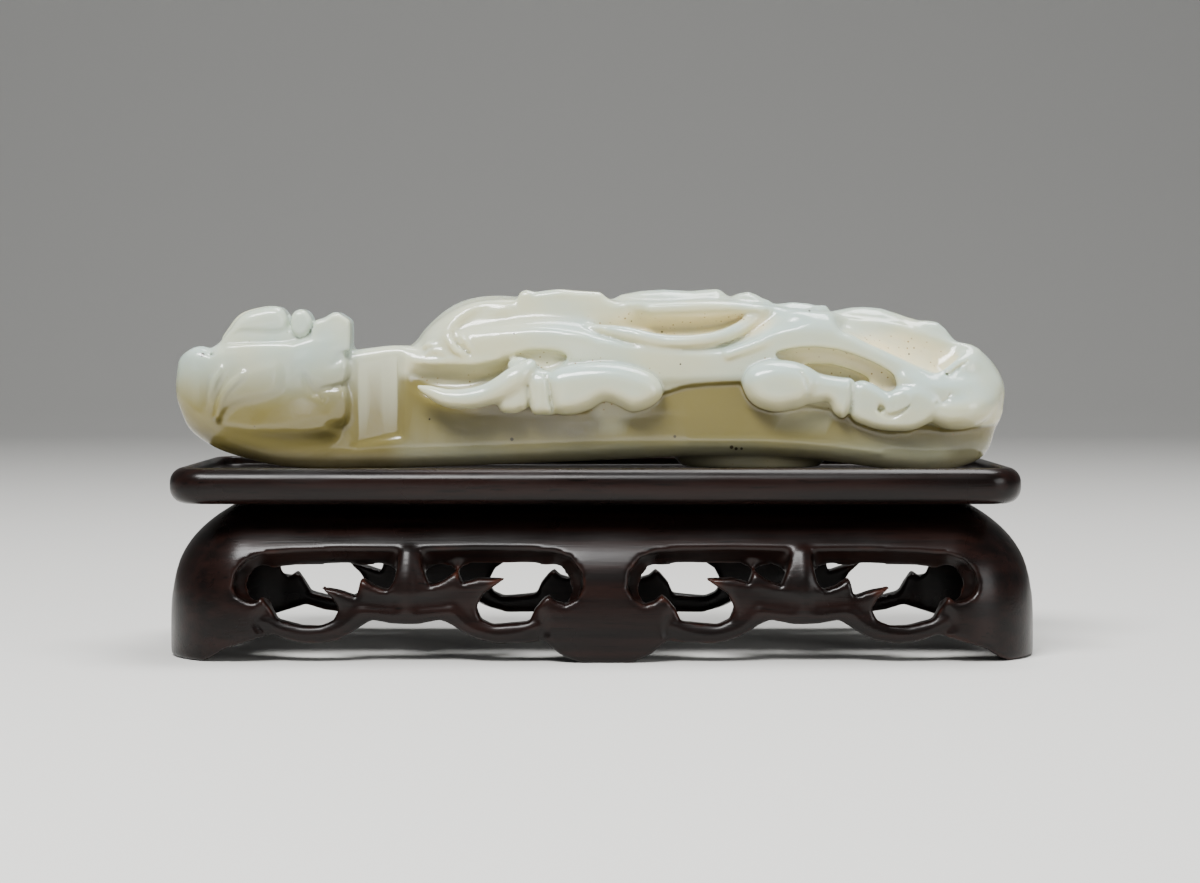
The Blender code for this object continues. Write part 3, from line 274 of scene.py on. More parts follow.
# The hollows that set the chilong free on the side it is seen from.
for wall, radius, blend, outline in (
    # beside the crest of the neck
    (5.9, 3.2, 1.1, [(-17.7, 17.1), (-15.3, 17.5), (-11.9, 18.0), (-6.7, 18.5), (-2.0, 18.1),
        (1.9, 17.2), (5.8, 16.6), (7.6, 18.2), (6.3, 22.2), (3.7, 24.8), (-4.1, 25.0), (-14.5, 24.2),
        (-17.4, 21.4), (-18.7, 18.5)]),
    # the long channel along the body
    (8.5, 2.2, 0.4, [(1.1, 17.2), (6.3, 16.0), (11.5, 15.1), (16.1, 14.9), (20.4, 15.9), (24.3, 17.6),
        (27.4, 18.5), (30.0, 19.8), (31.3, 21.4), (30.5, 24.8), (14.1, 25.3), (1.1, 23.5),
        (-0.2, 19.5)]),
    # its deep upper end
    (6.8, 2.2, 1.0, [(16.2, 16.2), (19.3, 16.7), (22.2, 18.0), (24.5, 19.5), (26.6, 21.1), (27.1, 23.5),
        (23.5, 23.5), (22.5, 21.4), (20.9, 19.5), (18.8, 18.0)]),
    # the saddle
    (4.3, 4.2, 1.9, [(1.1, 18.6), (4.0, 18.0), (6.3, 17.2), (9.2, 16.8), (12.8, 16.8), (16.2, 17.3),
        (18.8, 18.4), (20.6, 19.5), (21.3, 20.2), (19.8, 20.5), (16.7, 20.3), (12.8, 20.1), (7.6, 19.9),
        (3.7, 19.5)]),
    # the loin
    (5.4, 3.4, 1.3, [(32.1, 18.4), (33.7, 17.6), (35.6, 16.6), (37.8, 15.6), (40.4, 14.4), (43.0, 13.2),
        (45.4, 12.3), (46.9, 13.0), (48.5, 14.3), (49.9, 15.6), (48.8, 17.7), (45.4, 19.3),
        (40.2, 21.4), (35.7, 22.4), (31.8, 21.1)]),
    # the flank
    (7.4, 1.2, 0.3, [(23.9, 15.1), (25.8, 15.8), (28.7, 16.0), (31.7, 15.7), (34.4, 14.9), (37.0, 13.8),
        (39.1, 12.5), (40.4, 11.2), (39.9, 10.3), (38.1, 10.0), (35.2, 10.9), (31.8, 11.7),
        (27.9, 12.9), (25.1, 13.8)]),
    # its deep middle
    (5.6, 0.8, 0.4, [(27.7, 13.6), (30.5, 13.8), (33.4, 13.2), (36.0, 12.0), (35.7, 10.9), (32.3, 11.5),
        (29.0, 12.3)]),
    # under the chin
    (5.4, 2.8, 1.5, [(-23.9, 12.8), (-21.1, 13.4), (-16.9, 13.3), (-13.2, 13.7), (-10.9, 14.3),
        (-9.9, 13.9), (-10.4, 12.5), (-12.2, 10.9), (-15.8, 9.6), (-20.3, 9.6), (-23.1, 10.7)]),
    # above the wrist
    (7.4, 0.8, 0.6, [(-10.1, 14.7), (-8.8, 15.4), (-6.6, 15.6), (-4.4, 15.4), (-3.2, 14.6),
        (-4.3, 13.4), (-6.3, 12.9), (-8.5, 13.6)]),
):
    stone.pocket(outline, wall, radius, blend)
# The bar below the chilong is ground back, and so is the neck.
under = [(-24.4, 6.0), (-23.8, 9.1), (-19.7, 10.2), (-9.3, 9.7), (6.3, 9.4), (9.9, 10.2), (12.0, 10.9),
    (14.9, 11.2), (19.3, 11.4), (20.8, 9.4), (27.1, 8.6), (33.6, 7.6), (42.6, 6.0), (46.5, 5.3),
    (51.7, 6.0), (53.8, 7.6), (54.3, 1.1), (14.1, 1.1), (-24.4, 1.1)]
stone.leaf(under, -12.95, 4.0, 0.3, 0.25, True)
stone.leaf([(-31.6, 18.8), (-24.3, 18.8), (-24.3, 12.8), (-24.4, 4.0), (-31.6, 2.6)], -10.2, 3.85, 1.0,
    0.35, True)
# The hollows between the spine of the chilong and the folds beside it, seen from above.
for wide, knots in (
    (1.3, [(-8.0, 4.6, 22.6, 0.8), (-3.0, 5.6, 22.8, 1.3), (2.0, 5.8, 22.6, 0.8)]),
    (1.3, [(4.0, -3.0, 23.0, 0.8), (10.0, -3.2, 23.2, 1.5), (16.0, -3.0, 22.8, 0.8)]),
    (1.5, [(16.0, 3.6, 22.6, 0.8), (22.0, 3.4, 22.4, 1.9), (29.0, 3.6, 21.8, 1.0)]),
    (1.4, [(31.0, -4.4, 21.0, 0.9), (37.0, -4.0, 20.8, 1.5), (43.0, -3.6, 19.6, 0.9)]),
):
    stone.tube(knots, 0.5, wide, cut=True)
print("after the hollows:", int((stone.far < 0).sum() * HOOK_STEP**3), "cubic mm")

# %% [markdown]
# ## The side that is seen
# A long fold runs as a wave from the chilong's neck to its tail, with one foreleg stretched towards the chin, one
# hind leg with a round haunch, and a tail that rolls up at its end.

# %% Chilong, near side
stone.tube([(-22.4, 0, 15.4, 1.4), (-19.7, 0, 17.0, 2.7), (-16.0, 0, 18.7, 3.6), (-11.2, 0, 19.1, 3.6),
    (-6.3, 0, 18.2, 3)], blend=1.0, wide=1.5)
for knots in both([(-19.2, -4.2, 18.1, 0.9), (-17.6, -4.6, 18.8, 1)],
        [(-15.0, -4.8, 19.7, 0.7), (-12.0, -5.2, 20.6, 1), (-9.2, -5.2, 20.6, 0.6)]):
    stone.tube(knots, blend=0.5)
# The crest: six folds one behind the other, from the neck to the tail.
for half, round_off, outline in (
    (5.9, 0.8, [(-9.7, 19.8), (-9.7, 22.6), (-9.3, 23.3), (-8.5, 23.5), (-7.5, 23.2), (-6.1, 23.4),
        (-4.3, 23.6), (-2.1, 23.4), (1.1, 23.2), (2.2, 22.3), (3.8, 21.2), (2.7, 19.6), (-4.3, 19.4)]),
    (4.6, 2.6, [(1.6, 21.6), (3.8, 22.9), (6.4, 23.4), (9.4, 23.6), (13.1, 23.4), (16.6, 23.7),
        (17.2, 23.4), (18.2, 22.6), (20.0, 22.0), (19.2, 19.9), (6.4, 19.6)]),
    (5.0, 1.6, [(17.9, 22.2), (19.1, 23.0), (20.6, 23.3), (21.9, 22.8), (23.4, 21.8), (24.6, 20.7),
        (23.1, 19.0), (19.8, 19.0)]),
    (5.0, 1.2, [(22.7, 20.7), (24.0, 21.6), (26.4, 21.9), (28.6, 21.7), (30.6, 21.2), (31.6, 20.4),
        (32.0, 18.8), (26.4, 18.3), (23.2, 19.0)]),
    (5.0, 2.6, [(31.0, 19.9), (32.4, 20.8), (34.2, 21.2), (36.0, 21.3), (38.2, 21.1), (40.4, 20.4),
        (42.7, 19.6), (44.3, 18.0), (42.7, 16.2), (35.8, 17.5), (32.6, 18.6)]),
    (5.0, 1.4, [(41.6, 19.4), (44.0, 19.5), (45.5, 19.3), (46.6, 18.4), (47.8, 16.8), (48.3, 15.4),
        (44.6, 15.4), (42.2, 17.2)]),
):
    stone.leaf(outline, 0.0, half, round_off, 0.6)
# The raised edges of the saddle, the flank and the tail.
for knots in ([(-0.5, -6.9, 18.6, 0.4), (2.1, -7.7, 18.2, 0.7), (4.7, -8.5, 17.7, 0.9),
        (8.9, -8.9, 16.8, 0.9), (13.0, -9, 16.7, 0.9), (16.7, -8.6, 17.3, 0.9), (19.6, -7.6, 18.6, 0.9),
        (21.5, -6, 20.2, 0.9), (22.9, -3.6, 21.4, 0.8)], [(17.7, -9.3, 15.0, 0.7), (22.4, -9, 16.7, 0.8),
        (25.6, -7.6, 18.4, 0.8), (28.1, -6, 19.8, 0.8), (30.5, -3.6, 20.8, 0.7)],
        [(45.3, -8.6, 12.0, 0.7), (46.6, -8.2, 12.8, 0.7), (48.4, -7.2, 14.1, 0.7),
        (50.3, -5.4, 15.1, 0.7)]):
    stone.tube(knots, blend=0.5)
# The long claw under the chin, and then the limbs.
stone.tube([(-22.4, -9.4, 10.8, 0.3), (-20.9, -9.8, 10.2, 0.8), (-18.7, -10.2, 9.4, 1.2),
    (-16.2, -10.4, 9.3, 1.35), (-13.6, -10.5, 9.8, 1.45), (-11.6, -10.6, 10.7, 1.6),
    (-9.9, -10.6, 11.9, 1.6), (-8.6, -10.4, 12.9, 1.2), (-8.0, -10, 13.6, 0.9)], blend=0.3)
for centre_y, half, radius, blend, outline in (
    # the forefoot: palm, knuckles and two toes
    (-8.6, 1.3, 1.0, 0.5, [(-10.9, 13.8), (-9.6, 14.7), (-8.0, 14.3), (-6.6, 13.3), (-5.7, 12.0),
        (-8.0, 11.2), (-10.3, 11.5)]),
    (-9.7, 1.3, 1.0, 0.5, [(-12.5, 9.7), (-11.2, 11.2), (-9.0, 12.8), (-6.0, 12.9), (-4.3, 11.8),
        (-4.5, 7.7), (-6.5, 7.7), (-8.1, 8.8), (-9.8, 7.9), (-11.6, 8.3)]),
    (-10.1, 1.4, 1.3, 0.7, [(-12.1, 10.2), (-11.1, 11.4), (-9.5, 12.1), (-8.4, 12.5), (-8.0, 11.1),
        (-8.1, 9.2), (-8.4, 8.1), (-9.1, 7.7), (-10.0, 7.4), (-10.9, 7.4), (-11.9, 7.9)]),
    (-10.1, 1.5, 1.4, 0.6, [(-8.1, 11.5), (-7.1, 12.5), (-5.9, 12.7), (-5.1, 11.5), (-5.0, 9.2),
        (-5.0, 7.5), (-6.0, 7.2), (-7.2, 7.2), (-7.9, 8.0)]),
    # the foreleg
    (-10.0, 2.3, 2.2, 0.25, [(-5.9, 11.8), (-4.6, 13.2), (-2.0, 13.8), (1.1, 14.0), (4.2, 13.8),
        (6.5, 13.2), (8.2, 12.3), (9.2, 10.7), (8.9, 9.3), (7.3, 8.1), (5.2, 7.6), (3.2, 8.5),
        (1.6, 8.9), (-0.2, 7.9), (-2.5, 7.2), (-4.6, 7.4), (-5.5, 8.9)]),
    # the haunch
    (-9.9, 2.5, 2.4, 0.3, [(19.5, 11.1), (19.9, 12.7), (20.9, 13.6), (22.6, 14.2), (24.7, 14.3),
        (26.7, 14.0), (28.5, 13.1), (29.6, 11.5), (29.1, 9.7), (27.6, 8.4), (25.9, 7.9), (23.9, 7.6),
        (21.8, 8.1), (20.3, 9.2)]),
    # the hind shin
    (-9.9, 1.7, 1.5, 0.4, [(27.0, 13.3), (29.8, 12.5), (32.2, 12.1), (33.8, 11.8), (34.1, 9.9),
        (33.6, 8.1), (32.6, 6.8), (31.4, 7.4), (30.4, 8.9), (27.8, 8.9)]),
    # the hind foot and its claw
    (-9.5, 1.6, 1.3, 0.4, [(33.7, 10.9), (35.0, 11.7), (36.7, 11.1), (38.4, 10.2), (40.2, 10.7),
        (42.1, 11.0), (43.8, 10.3), (44.9, 9.2), (44.6, 7.6), (43.7, 6.2), (41.5, 5.2), (39.3, 5.1),
        (37.2, 5.3), (35.5, 5.8), (33.8, 6.7), (33.3, 8.7)]),
    (-9.9, 1.4, 1.0, 0.4, [(38.5, 9.9), (39.7, 10.7), (41.0, 10.6), (41.7, 9.4), (41.5, 8.0),
        (40.5, 7.1), (39.2, 6.8), (38.1, 7.4), (38.5, 8.3)]),
):
    stone.pad(outline, centre_y, half, radius, blend)
# A groove round the claw, and the tail that rolls up behind it.
stone.tube([(37.2, -11.3, 8.7, 0.3), (37.3, -11.4, 7.8, 0.5), (38.5, -11.5, 7.2, 0.35),
    (40.0, -11.6, 7.4, 0.3)], blend=0.35, cut=True)
stone.tube([(44.2, -9.2, 8.0, 1.5), (46.6, -8.8, 7.6, 2.3), (49.0, -7.9, 8.1, 2.6),
    (51.0, -5.8, 9.1, 2.4)], blend=0.7)
stone.tube([(40.7, -9, 11.7, 1.2), (44.6, -8.8, 10.4, 1.7), (48.3, -7.4, 10.2, 2.4),
    (51.3, -4.6, 10.6, 2.4)], blend=0.9)
print("near side carved")

# %% [markdown]
# ## The far side
# The photograph doesn't show it, so it is finished in the same manner and plainer.

# %% Chilong, far side
for blend, wide, knots in (
    (0.5, 2.0, [(-20.0, 9.2, 11.6, 1.0), (-14.0, 9.8, 12.2, 1.5), (-8.0, 9.6, 14.0, 1.0)]),
    (0.6, 1.8, [(6.0, 9.4, 19.0, 1.2), (12.0, 9.8, 19.0, 1.9), (19.0, 9.4, 19.6, 1.1)]),
    (0.6, 2.0, [(28.0, 10.6, 14.6, 1.2), (34.0, 10.8, 13.6, 1.8), (40.0, 10.6, 12.0, 1.1)]),
    (0.6, 1.8, [(34.0, 9.4, 18.2, 0.9), (40.0, 9.6, 17.0, 1.4), (45.0, 9.0, 15.6, 1.0)]),
):
    stone.tube(knots, blend, wide, cut=True)
stone.leaf([(-26, 2), (-26, 8.5), (0, 7.6), (10, 10.0), (20, 10.0), (24, 7.2), (50, 6.0), (52, 2)], 13.0,
    4.2, radius=0.5, blend=0.4, cut=True)
for blend, wide, knots in (
    # the long fold of the body
    (0.7, 1.25, [(-19.0, 5.4, 16.0, 1.7), (-10.0, 7.4, 17.0, 1.7), (0.0, 8.6, 16.4, 1.8),
        (9.0, 9.4, 15.0, 1.9), (18.0, 9.4, 14.8, 1.8), (26.0, 8.8, 16.8, 1.5), (34.0, 9.0, 15.4, 1.5),
        (41.0, 9.2, 12.6, 1.9), (48.0, 7.6, 10.4, 2.6)]),
    # the foreleg
    (0.4, 0.78, [(8.0, 9.6, 11.2, 1.6), (2.0, 10.0, 10.8, 2.6), (-5.0, 10.2, 10.4, 2.2),
        (-10.0, 10.2, 9.8, 1.6)]),
    # its claw
    (0.3, 1.0, [(-10.0, 10.2, 9.8, 1.5), (-16.0, 10.0, 9.6, 1.3), (-21.0, 9.6, 10.6, 0.4)]),
    # the hind leg
    (0.4, 0.7, [(24.0, 9.8, 11.4, 3.4), (29.0, 9.8, 10.6, 2.4), (34.0, 10.0, 10.2, 1.7),
        (32.0, 9.6, 7.8, 1.1)]),
    # the tail
    (0.5, 1.0, [(35.0, 10.0, 9.4, 1.6), (41.0, 10.0, 7.8, 1.6), (47.0, 8.8, 8.4, 2.4),
        (50.5, 6.4, 9.6, 2.6)]),
):
    stone.tube(knots, blend, wide)
print("far side carved")

# %% [markdown]
# ## The dragon head
# The head is a squared block with a brow, round eyes, an upturned snout, a leaf-shaped lock on each cheek and a
# rolled neck behind it.

# %% Dragon head
side = spline([(-55.0, 10.2), (-54.8, 12.7), (-54.4, 14.3), (-53.1, 15.4), (-51.5, 15.6), (-49.9, 15.3),
    (-48.5, 15.9), (-45.6, 16.2), (-40.3, 16.4), (-37.3, 17.2), (-34.3, 18.0), (-32.1, 18.3),
    (-31.9, 16.3), (-32.0, 11.6), (-32.1, 7.0), (-32.4, 3.6), (-36.3, 2.3), (-42.9, 2.0), (-48.9, 3.6),
    (-52.9, 5.8)], closed=True)
plan = spline([(-55.2, -3.4), (-53.4, -6.2), (-48.0, -7.7), (-40.0, -HEAD_HALF_WIDTH), (-33.4, -7.9),
    (-31.9, -6.8), (-32.6, 0.0), (-33.2, 6.8), (-34.6, 7.7), (-40.0, HEAD_HALF_WIDTH), (-48.0, 7.7),
    (-53.4, 6.2), (-55.2, 3.4)], closed=True)
stone.far = soft_min(stone.far, stone.slab(side, plan, 1.1, 4.6), 0.9)
stone.pad([(-50.4, 15.2), (-48.8, 16.6), (-47.5, 18.2), (-45.6, 19.5), (-42.9, 20.0), (-40.5, 19.4),
    (-39.5, 18.7), (-37.3, 18.6), (-35.5, 19.1), (-32.9, 19.4), (-32.3, 17.5), (-32.9, 14.3),
    (-41.6, 13.5), (-48.3, 13.8)], -0.4, 6.5, 1.4, 0.5)
stone.tube([(-51.3, -5.2, 14.3, 1.8), (-52.9, 5, 14.3, 1.8)], blend=0.7)
HEAD_TURN, HEAD_TILT = 0.03, 0.2  # the far brow shows a little beyond the near one
brow = [(-48.2, 16.7), (-47.3, 18.3), (-46.2, 19.8), (-45.0, 20.6), (-43.2, 21.1), (-41.6, 21.3),
    (-40.6, 21.1), (-39.9, 20.2), (-39.6, 18.9), (-40.0, 17.9), (-41.6, 17.6), (-44.0, 17.7),
    (-46.1, 17.7)]
knob = [(-37.9, 20.9), (-37.0, 20.4), (-36.5, 19.2), (-37.0, 17.9), (-37.9, 17.3), (-39.0, 17.9),
    (-39.3, 19.2), (-38.9, 20.4)]
ear = [(-36.2, 19.3), (-34.8, 19.7), (-33.7, 20.4), (-33.1, 20.5), (-32.3, 20.0), (-31.5, 19.4),
    (-31.5, 17.6), (-31.6, 15.4), (-36.3, 15.4), (-36.6, 17.5)]
for sign in (-1, 1):
    far_side = max(sign, 0)
    turn = 1.0 + far_side * HEAD_TURN
    above_eye, eye, back = (
        [(x * turn, z + HEAD_TILT * far_side) for x, z in form] for form in (brow, knob, ear)
    )
    stone.pad(above_eye, sign * 4.0, 3.4, 1.4, 0.3)
    stone.pad(eye, sign * 4.8, 3.1, 0.8, 0.15)
    stone.leaf(back, sign * 4.6, 3.3, 0.5, 0.3)
    leaf = [(-48.9, 6.8), (-48.5, 8.6), (-47.8, 10.2), (-46.7, 11.6), (-45.0, 12.8), (-42.9, 13.6),
        (-41.1, 13.9), (-40.5, 12.8), (-40.6, 11.1), (-41.4, 9.9), (-43.7, 9.4), (-46.1, 8.9),
        (-47.8, 7.7)]
    stone.pad(leaf, sign * 7.4, 0.8, 0.8, 0.9)
    lock = [(-43.5, 5.7), (-42.7, 7.8), (-40.3, 9.3), (-38.0, 10.0), (-35.1, 10.0), (-32.6, 10.4),
        (-32.0, 8.9), (-32.1, 6.8), (-33.3, 6.1), (-35.6, 6.5), (-38.0, 6.2), (-39.5, 5.6), (-41.9, 5.3)]
    stone.pad(lock, sign * 7.0, 0.8, 0.7, 1.1)
    lip = [(-36.8, 13.3), (-35.4, 12.8), (-33.6, 13.6), (-32.1, 14.1), (-32.0, 12.1), (-33.0, 11.2),
        (-34.6, 10.8), (-36.2, 11.5)]
    stone.pad(lip, sign * 7.15, 0.75, 0.7, 1.0)
# The rims of the locks, the line over the cheek and the groove behind it.
for cut, blend, wide, knots in (
    (False, 0.5, 1.0, [(-48.8, -8, 6.9, 0.4), (-48.5, -8.1, 8.5, 0.45), (-47.9, -8.2, 9.9, 0.45),
        (-46.8, -8.2, 11.3, 0.45), (-45.4, -8.2, 12.5, 0.35)]),
    (False, 0.6, 1.0, [(-49.8, -7.3, 8.1, 0.35), (-49.6, -7.6, 10.2, 0.5), (-49.2, -7.8, 11.7, 0.5),
        (-48.2, -7.8, 13.2, 0.35)]),
    (False, 0.5, 1.0, [(-47.5, -7.2, 15.9, 0.3), (-43.8, -7.6, 16.1, 0.4), (-39.5, -7.7, 16.2, 0.3)]),
    (True, 0.5, 1.2, [(-33.7, -8.3, 13.8, 0.25), (-32.9, -8.3, 14.6, 0.45), (-31.6, -8.2, 15.0, 0.3)]),
):
    for form in both(knots):
        stone.tube(form, blend, wide, cut)
print("dragon head carved")

# %% [markdown]
# ## Wheel cuts
# The last work of a jade carver is with a thin wheel: short grooves for wrinkles, toes, eyelids and the veins of the
# locks. Each is a fine tube just in the surface: cut away for a groove, added for a soft wrinkle.

# %% Fine cuts and wrinkles
def on_skin(places, side=-1):
    """Moves (x, z) places onto the stone's near or far face."""
    path = []
    for x, z in places:
        along, up = [round((place - stone.axes[i][0]) / stone.step) for i, place in ((0, x), (2, z))]
        inside = np.nonzero(stone.far[along, :, up] < 0)[0]
        y = stone.axes[1][inside[0 if side < 0 else -1]] if len(inside) else 0.0
        path.append((x, float(y), z))
    return path


CUT, RAISED = True, False


def stroke(cut, places, radius, blend=0.18, sides=(-1,)):
    """A fine groove or a soft wrinkle along (x, z) places; its ends run out."""
    for side in sides:
        path = on_skin(places, side)
        sizes = [radius * 0.5] + [radius] * (len(path) - 2) + [radius * 0.5]
        stone.tube([(*place, size) for place, size in zip(path, sizes)], blend, cut=cut)


# wrinkles on the chilong's muzzle and the edge of its upper jaw
stroke(RAISED, [(-22.4, 15.8), (-21.3, 16.2), (-20.1, 16.2)], 0.5, 0.12)
stroke(RAISED, [(-21.9, 14.7), (-20.9, 15.4), (-19.8, 15.4), (-18.9, 14.9)], 0.55, 0.12)
stroke(RAISED, [(-19.0, 17.3), (-18.4, 16.6), (-17.7, 15.6), (-16.8, 15.1), (-16.0, 14.6)], 0.55, 0.12)
stroke(RAISED, [(-17.3, 17.7), (-16.5, 16.8), (-15.6, 15.6)], 0.45, 0.12)
stroke(RAISED, [(-23.3, 14.3), (-20.9, 14.1), (-18.2, 14.2), (-15.3, 14.1), (-12.2, 14.6)], 0.45, 0.5)
stroke(CUT, [(-18.2, 17.9), (-17.9, 16.8), (-16.9, 15.8), (-15.9, 15.0)], 0.2)
# knuckles, toes and claws
stroke(CUT, [(-6.0, 12.4), (-5.4, 10.5), (-5.2, 8.8), (-5.1, 7.6)], 0.2, 0.4)
stroke(CUT, [(-8.3, 11.0), (-8.1, 9.6), (-8.2, 8.4)], 0.2, 0.4)
stroke(CUT, [(33.5, 11.4), (33.7, 9.6), (33.5, 7.9)], 0.12, 0.5)
stroke(CUT, [(37.2, 7.9), (38.3, 7.0), (39.7, 7.4), (41.0, 8.5)], 0.26, 0.3)
stroke(CUT, [(44.5, 8.7), (45.6, 9.0), (46.4, 9.9)], 0.2)
# rings round the ankle and the V behind the loin
stroke(CUT, [(26.8, 12.9), (27.7, 11.4), (27.8, 9.6)], 0.18)
stroke(CUT, [(45.2, 13.6), (46.2, 12.4), (47.6, 13.2), (48.9, 14.1)], 0.26)
# the pit beside the rolled tail and a nostril
for place, size in (((37.4, 8.0), 0.5), ((-49.7, 15.0), 0.3)):
    stone.ball(on_skin([place])[0], (size, size * 1.6, size), blend=0.15, cut=True)
# a thin line that runs low along the bar
stroke(RAISED, [(12.8, 4.0), (21.9, 4.0), (31.0, 3.3), (37.5, 2.3)], 0.1, 0.7, (-1, 1))
# the curl, the lips and the veins of the locks on the dragon head
ring = [(a * 0.8 - 37.8, b * 0.8 + 12.9) for a, b in ((-0.7, 0.9), (0.4, 1.1), (1.1, 0.2), (0.8, -0.8),
    (-0.2, -1.1))]
stroke(RAISED, ring, 0.2, 0.25, (-1, 1))
stroke(CUT, [(-36.3, 9.9), (-34.6, 10.6), (-32.8, 10.9), (-31.7, 11.6)], 0.22, 0.4, (-1, 1))
stroke(CUT, [(-37.3, 12.5), (-36.6, 10.8), (-35.1, 9.3)], 0.18, 0.4, (-1, 1))
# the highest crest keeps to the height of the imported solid
CREST_TOP = 23.65
stone.far = np.maximum(stone.far, stone.z - CREST_TOP)
print("fine cuts made")

# %% [markdown]
# ## A skin for the block
# Where the numbers change sign there is surface. In each small cell that it crosses, one point is put in the middle
# of the crossings, and neighbouring points are joined by four-sided faces. A measure of how sunken each point is
# goes with it, because dust and honey colour gather in hollows and wear shows on edges.

# %% How sunken each place is
def openness(inside, reach):
    """The share of stone within a few steps of each point: over a half in a hollow, under a half on an edge."""
    share = inside.astype(np.float32)
    for axis in range(3):
        pads = [(reach + 1, reach) if i == axis else (0, 0) for i in range(3)]
        total = np.cumsum(np.pad(share, pads, mode="edge"), axis=axis, dtype=np.float64)
        ahead = np.take(total, range(2 * reach + 1, total.shape[axis]), axis=axis)
        behind = np.take(total, range(0, total.shape[axis] - 2 * reach - 1), axis=axis)
        share = ((ahead - behind) / (2 * reach + 1)).astype(np.float32)
    return share


print("deep in the stone the share is", float(openness(np.ones((7, 7, 7), bool), 1)[3, 3, 3]))

# %% From distances to faces
CORNERS = [(i & 1, i >> 1 & 1, i >> 2 & 1) for i in range(8)]


def skin(block):
    """Points in grid steps and outward four-sided faces where the block's distances change sign."""
    far = block.far
    inside = far < 0
    nx, ny, nz = far.shape
    wet = np.zeros((nx - 1, ny - 1, nz - 1), np.int8)
    for a, b, c in CORNERS:
        wet += inside[a : nx - 1 + a, b : ny - 1 + b, c : nz - 1 + c]
    cells = np.argwhere((wet > 0) & (wet < 8))
    number = np.full(wet.shape, -1, np.int64)
    number[tuple(cells.T)] = np.arange(len(cells))
    total, count = np.zeros((len(cells), 3)), np.zeros(len(cells))
    for corner in CORNERS:
        for axis in range(3):
            if corner[axis]:
                continue
            start = cells + corner
            end = start.copy()
            end[:, axis] += 1
            a, b = far[tuple(start.T)].astype(float), far[tuple(end.T)].astype(float)
            crossed = (a < 0) != (b < 0)
            place = start.astype(float)
            place[:, axis] += np.where(crossed, a / np.where(crossed, a - b, 1.0), 0.0)
            total[crossed] += place[crossed]
            count[crossed] += 1
    quads = []
    for axis in range(3):
        u, v = (axis + 1) % 3, (axis + 2) % 3
        before = np.take(inside, range(far.shape[axis] - 1), axis=axis)
        after = np.take(inside, range(1, far.shape[axis]), axis=axis)
        for into in (True, False):
            edges = np.argwhere((before == into) & (after != into))
            edges = edges[(edges[:, u] > 0) & (edges[:, v] > 0)]
            ring = []
            for du, dv in ((-1, -1), (0, -1), (0, 0), (-1, 0)):
                cell = edges.copy()
                cell[:, u] += du
                cell[:, v] += dv
                cell = np.minimum(cell, np.array(wet.shape) - 1)
                ring.append(number[tuple(cell.T)])
            ring = np.stack(ring, axis=1)
            quads.append(ring if into else ring[:, ::-1])
    quads = np.concatenate(quads)
    return total / count[:, None], quads[(quads >= 0).all(axis=1)]


print("each cell of the block has", len(CORNERS), "corners")

# %% From faces to an object
def at_points(values, points):
    """The grid's values at each point, blended between the eight grid places round it."""
    place = np.clip(points, 0.0, np.array(values.shape) - 1.001)
    first = place.astype(int)
    part = place - first
    total = np.zeros(len(points))
    for a, b, c in CORNERS:
        share = np.ones(len(points))
        for axis, step in enumerate((a, b, c)):
            share *= part[:, axis] if step else 1.0 - part[:, axis]
        total += share * values[first[:, 0] + a, first[:, 1] + b, first[:, 2] + c]
    return total


def to_object(name, block, place_points=None, wide=1.6, fine=0.6, tints=None):
    """A mesh object of the block's skin, with its hollows, its edges and any tints as attributes."""
    points, quads = skin(block)
    inside = block.far < 0
    layers = {
        "hollow": at_points(openness(inside, max(1, round(wide / block.step))), points),
        "edge": at_points(openness(inside, max(1, round(fine / block.step))), points),
    }
    local = points * block.step + np.array([axis[0] for axis in block.axes])
    if tints:
        layers.update(tints(points, local))
    placed = (place_points(local) if place_points else local) * MM
    mesh = bpy.data.meshes.new(name)
    mesh.vertices.add(len(placed))
    mesh.vertices.foreach_set("co", placed.astype(np.float32).ravel())
    mesh.loops.add(quads.size)
    mesh.loops.foreach_set("vertex_index", quads.astype(np.int32).ravel())
    mesh.polygons.add(len(quads))
    mesh.polygons.foreach_set("loop_start", np.arange(0, quads.size, 4, dtype=np.int32))
    mesh.update(calc_edges=True)
    mesh.validate()
    for title, values in layers.items():
        layer = mesh.attributes.new(title, "FLOAT", "POINT")
        layer.data.foreach_set("value", values.astype(np.float32))
    item = bpy.data.objects.new(name, mesh)
    bpy.context.scene.collection.objects.link(item)
    print(name, "has", len(placed), "points and", len(quads), "faces")
    return item


def smooth(value):
    value = np.clip(value, 0.0, 1.0)
    return value * value * (3.0 - 2.0 * value)


SKIN_GAP = 0.02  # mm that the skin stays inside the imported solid


def on_hook(points):
    """Brings the carved block to the hook's own place and length."""
    low, high = points.min(axis=0), points.max(axis=0)
    scale = (hook_high[0] - hook_low[0] - 2 * SKIN_GAP) / (high[0] - low[0])
    moved = (points - [(low[0] + high[0]) / 2, 0.0, low[2]]) * scale
    return moved + [(hook_low[0] + hook_high[0]) / 2, 0.0, hook_low[2] + SKIN_GAP]


print("the carved block will be", round(float(hook_high[0] - hook_low[0]) - 2 * SKIN_GAP, 2), "mm long")
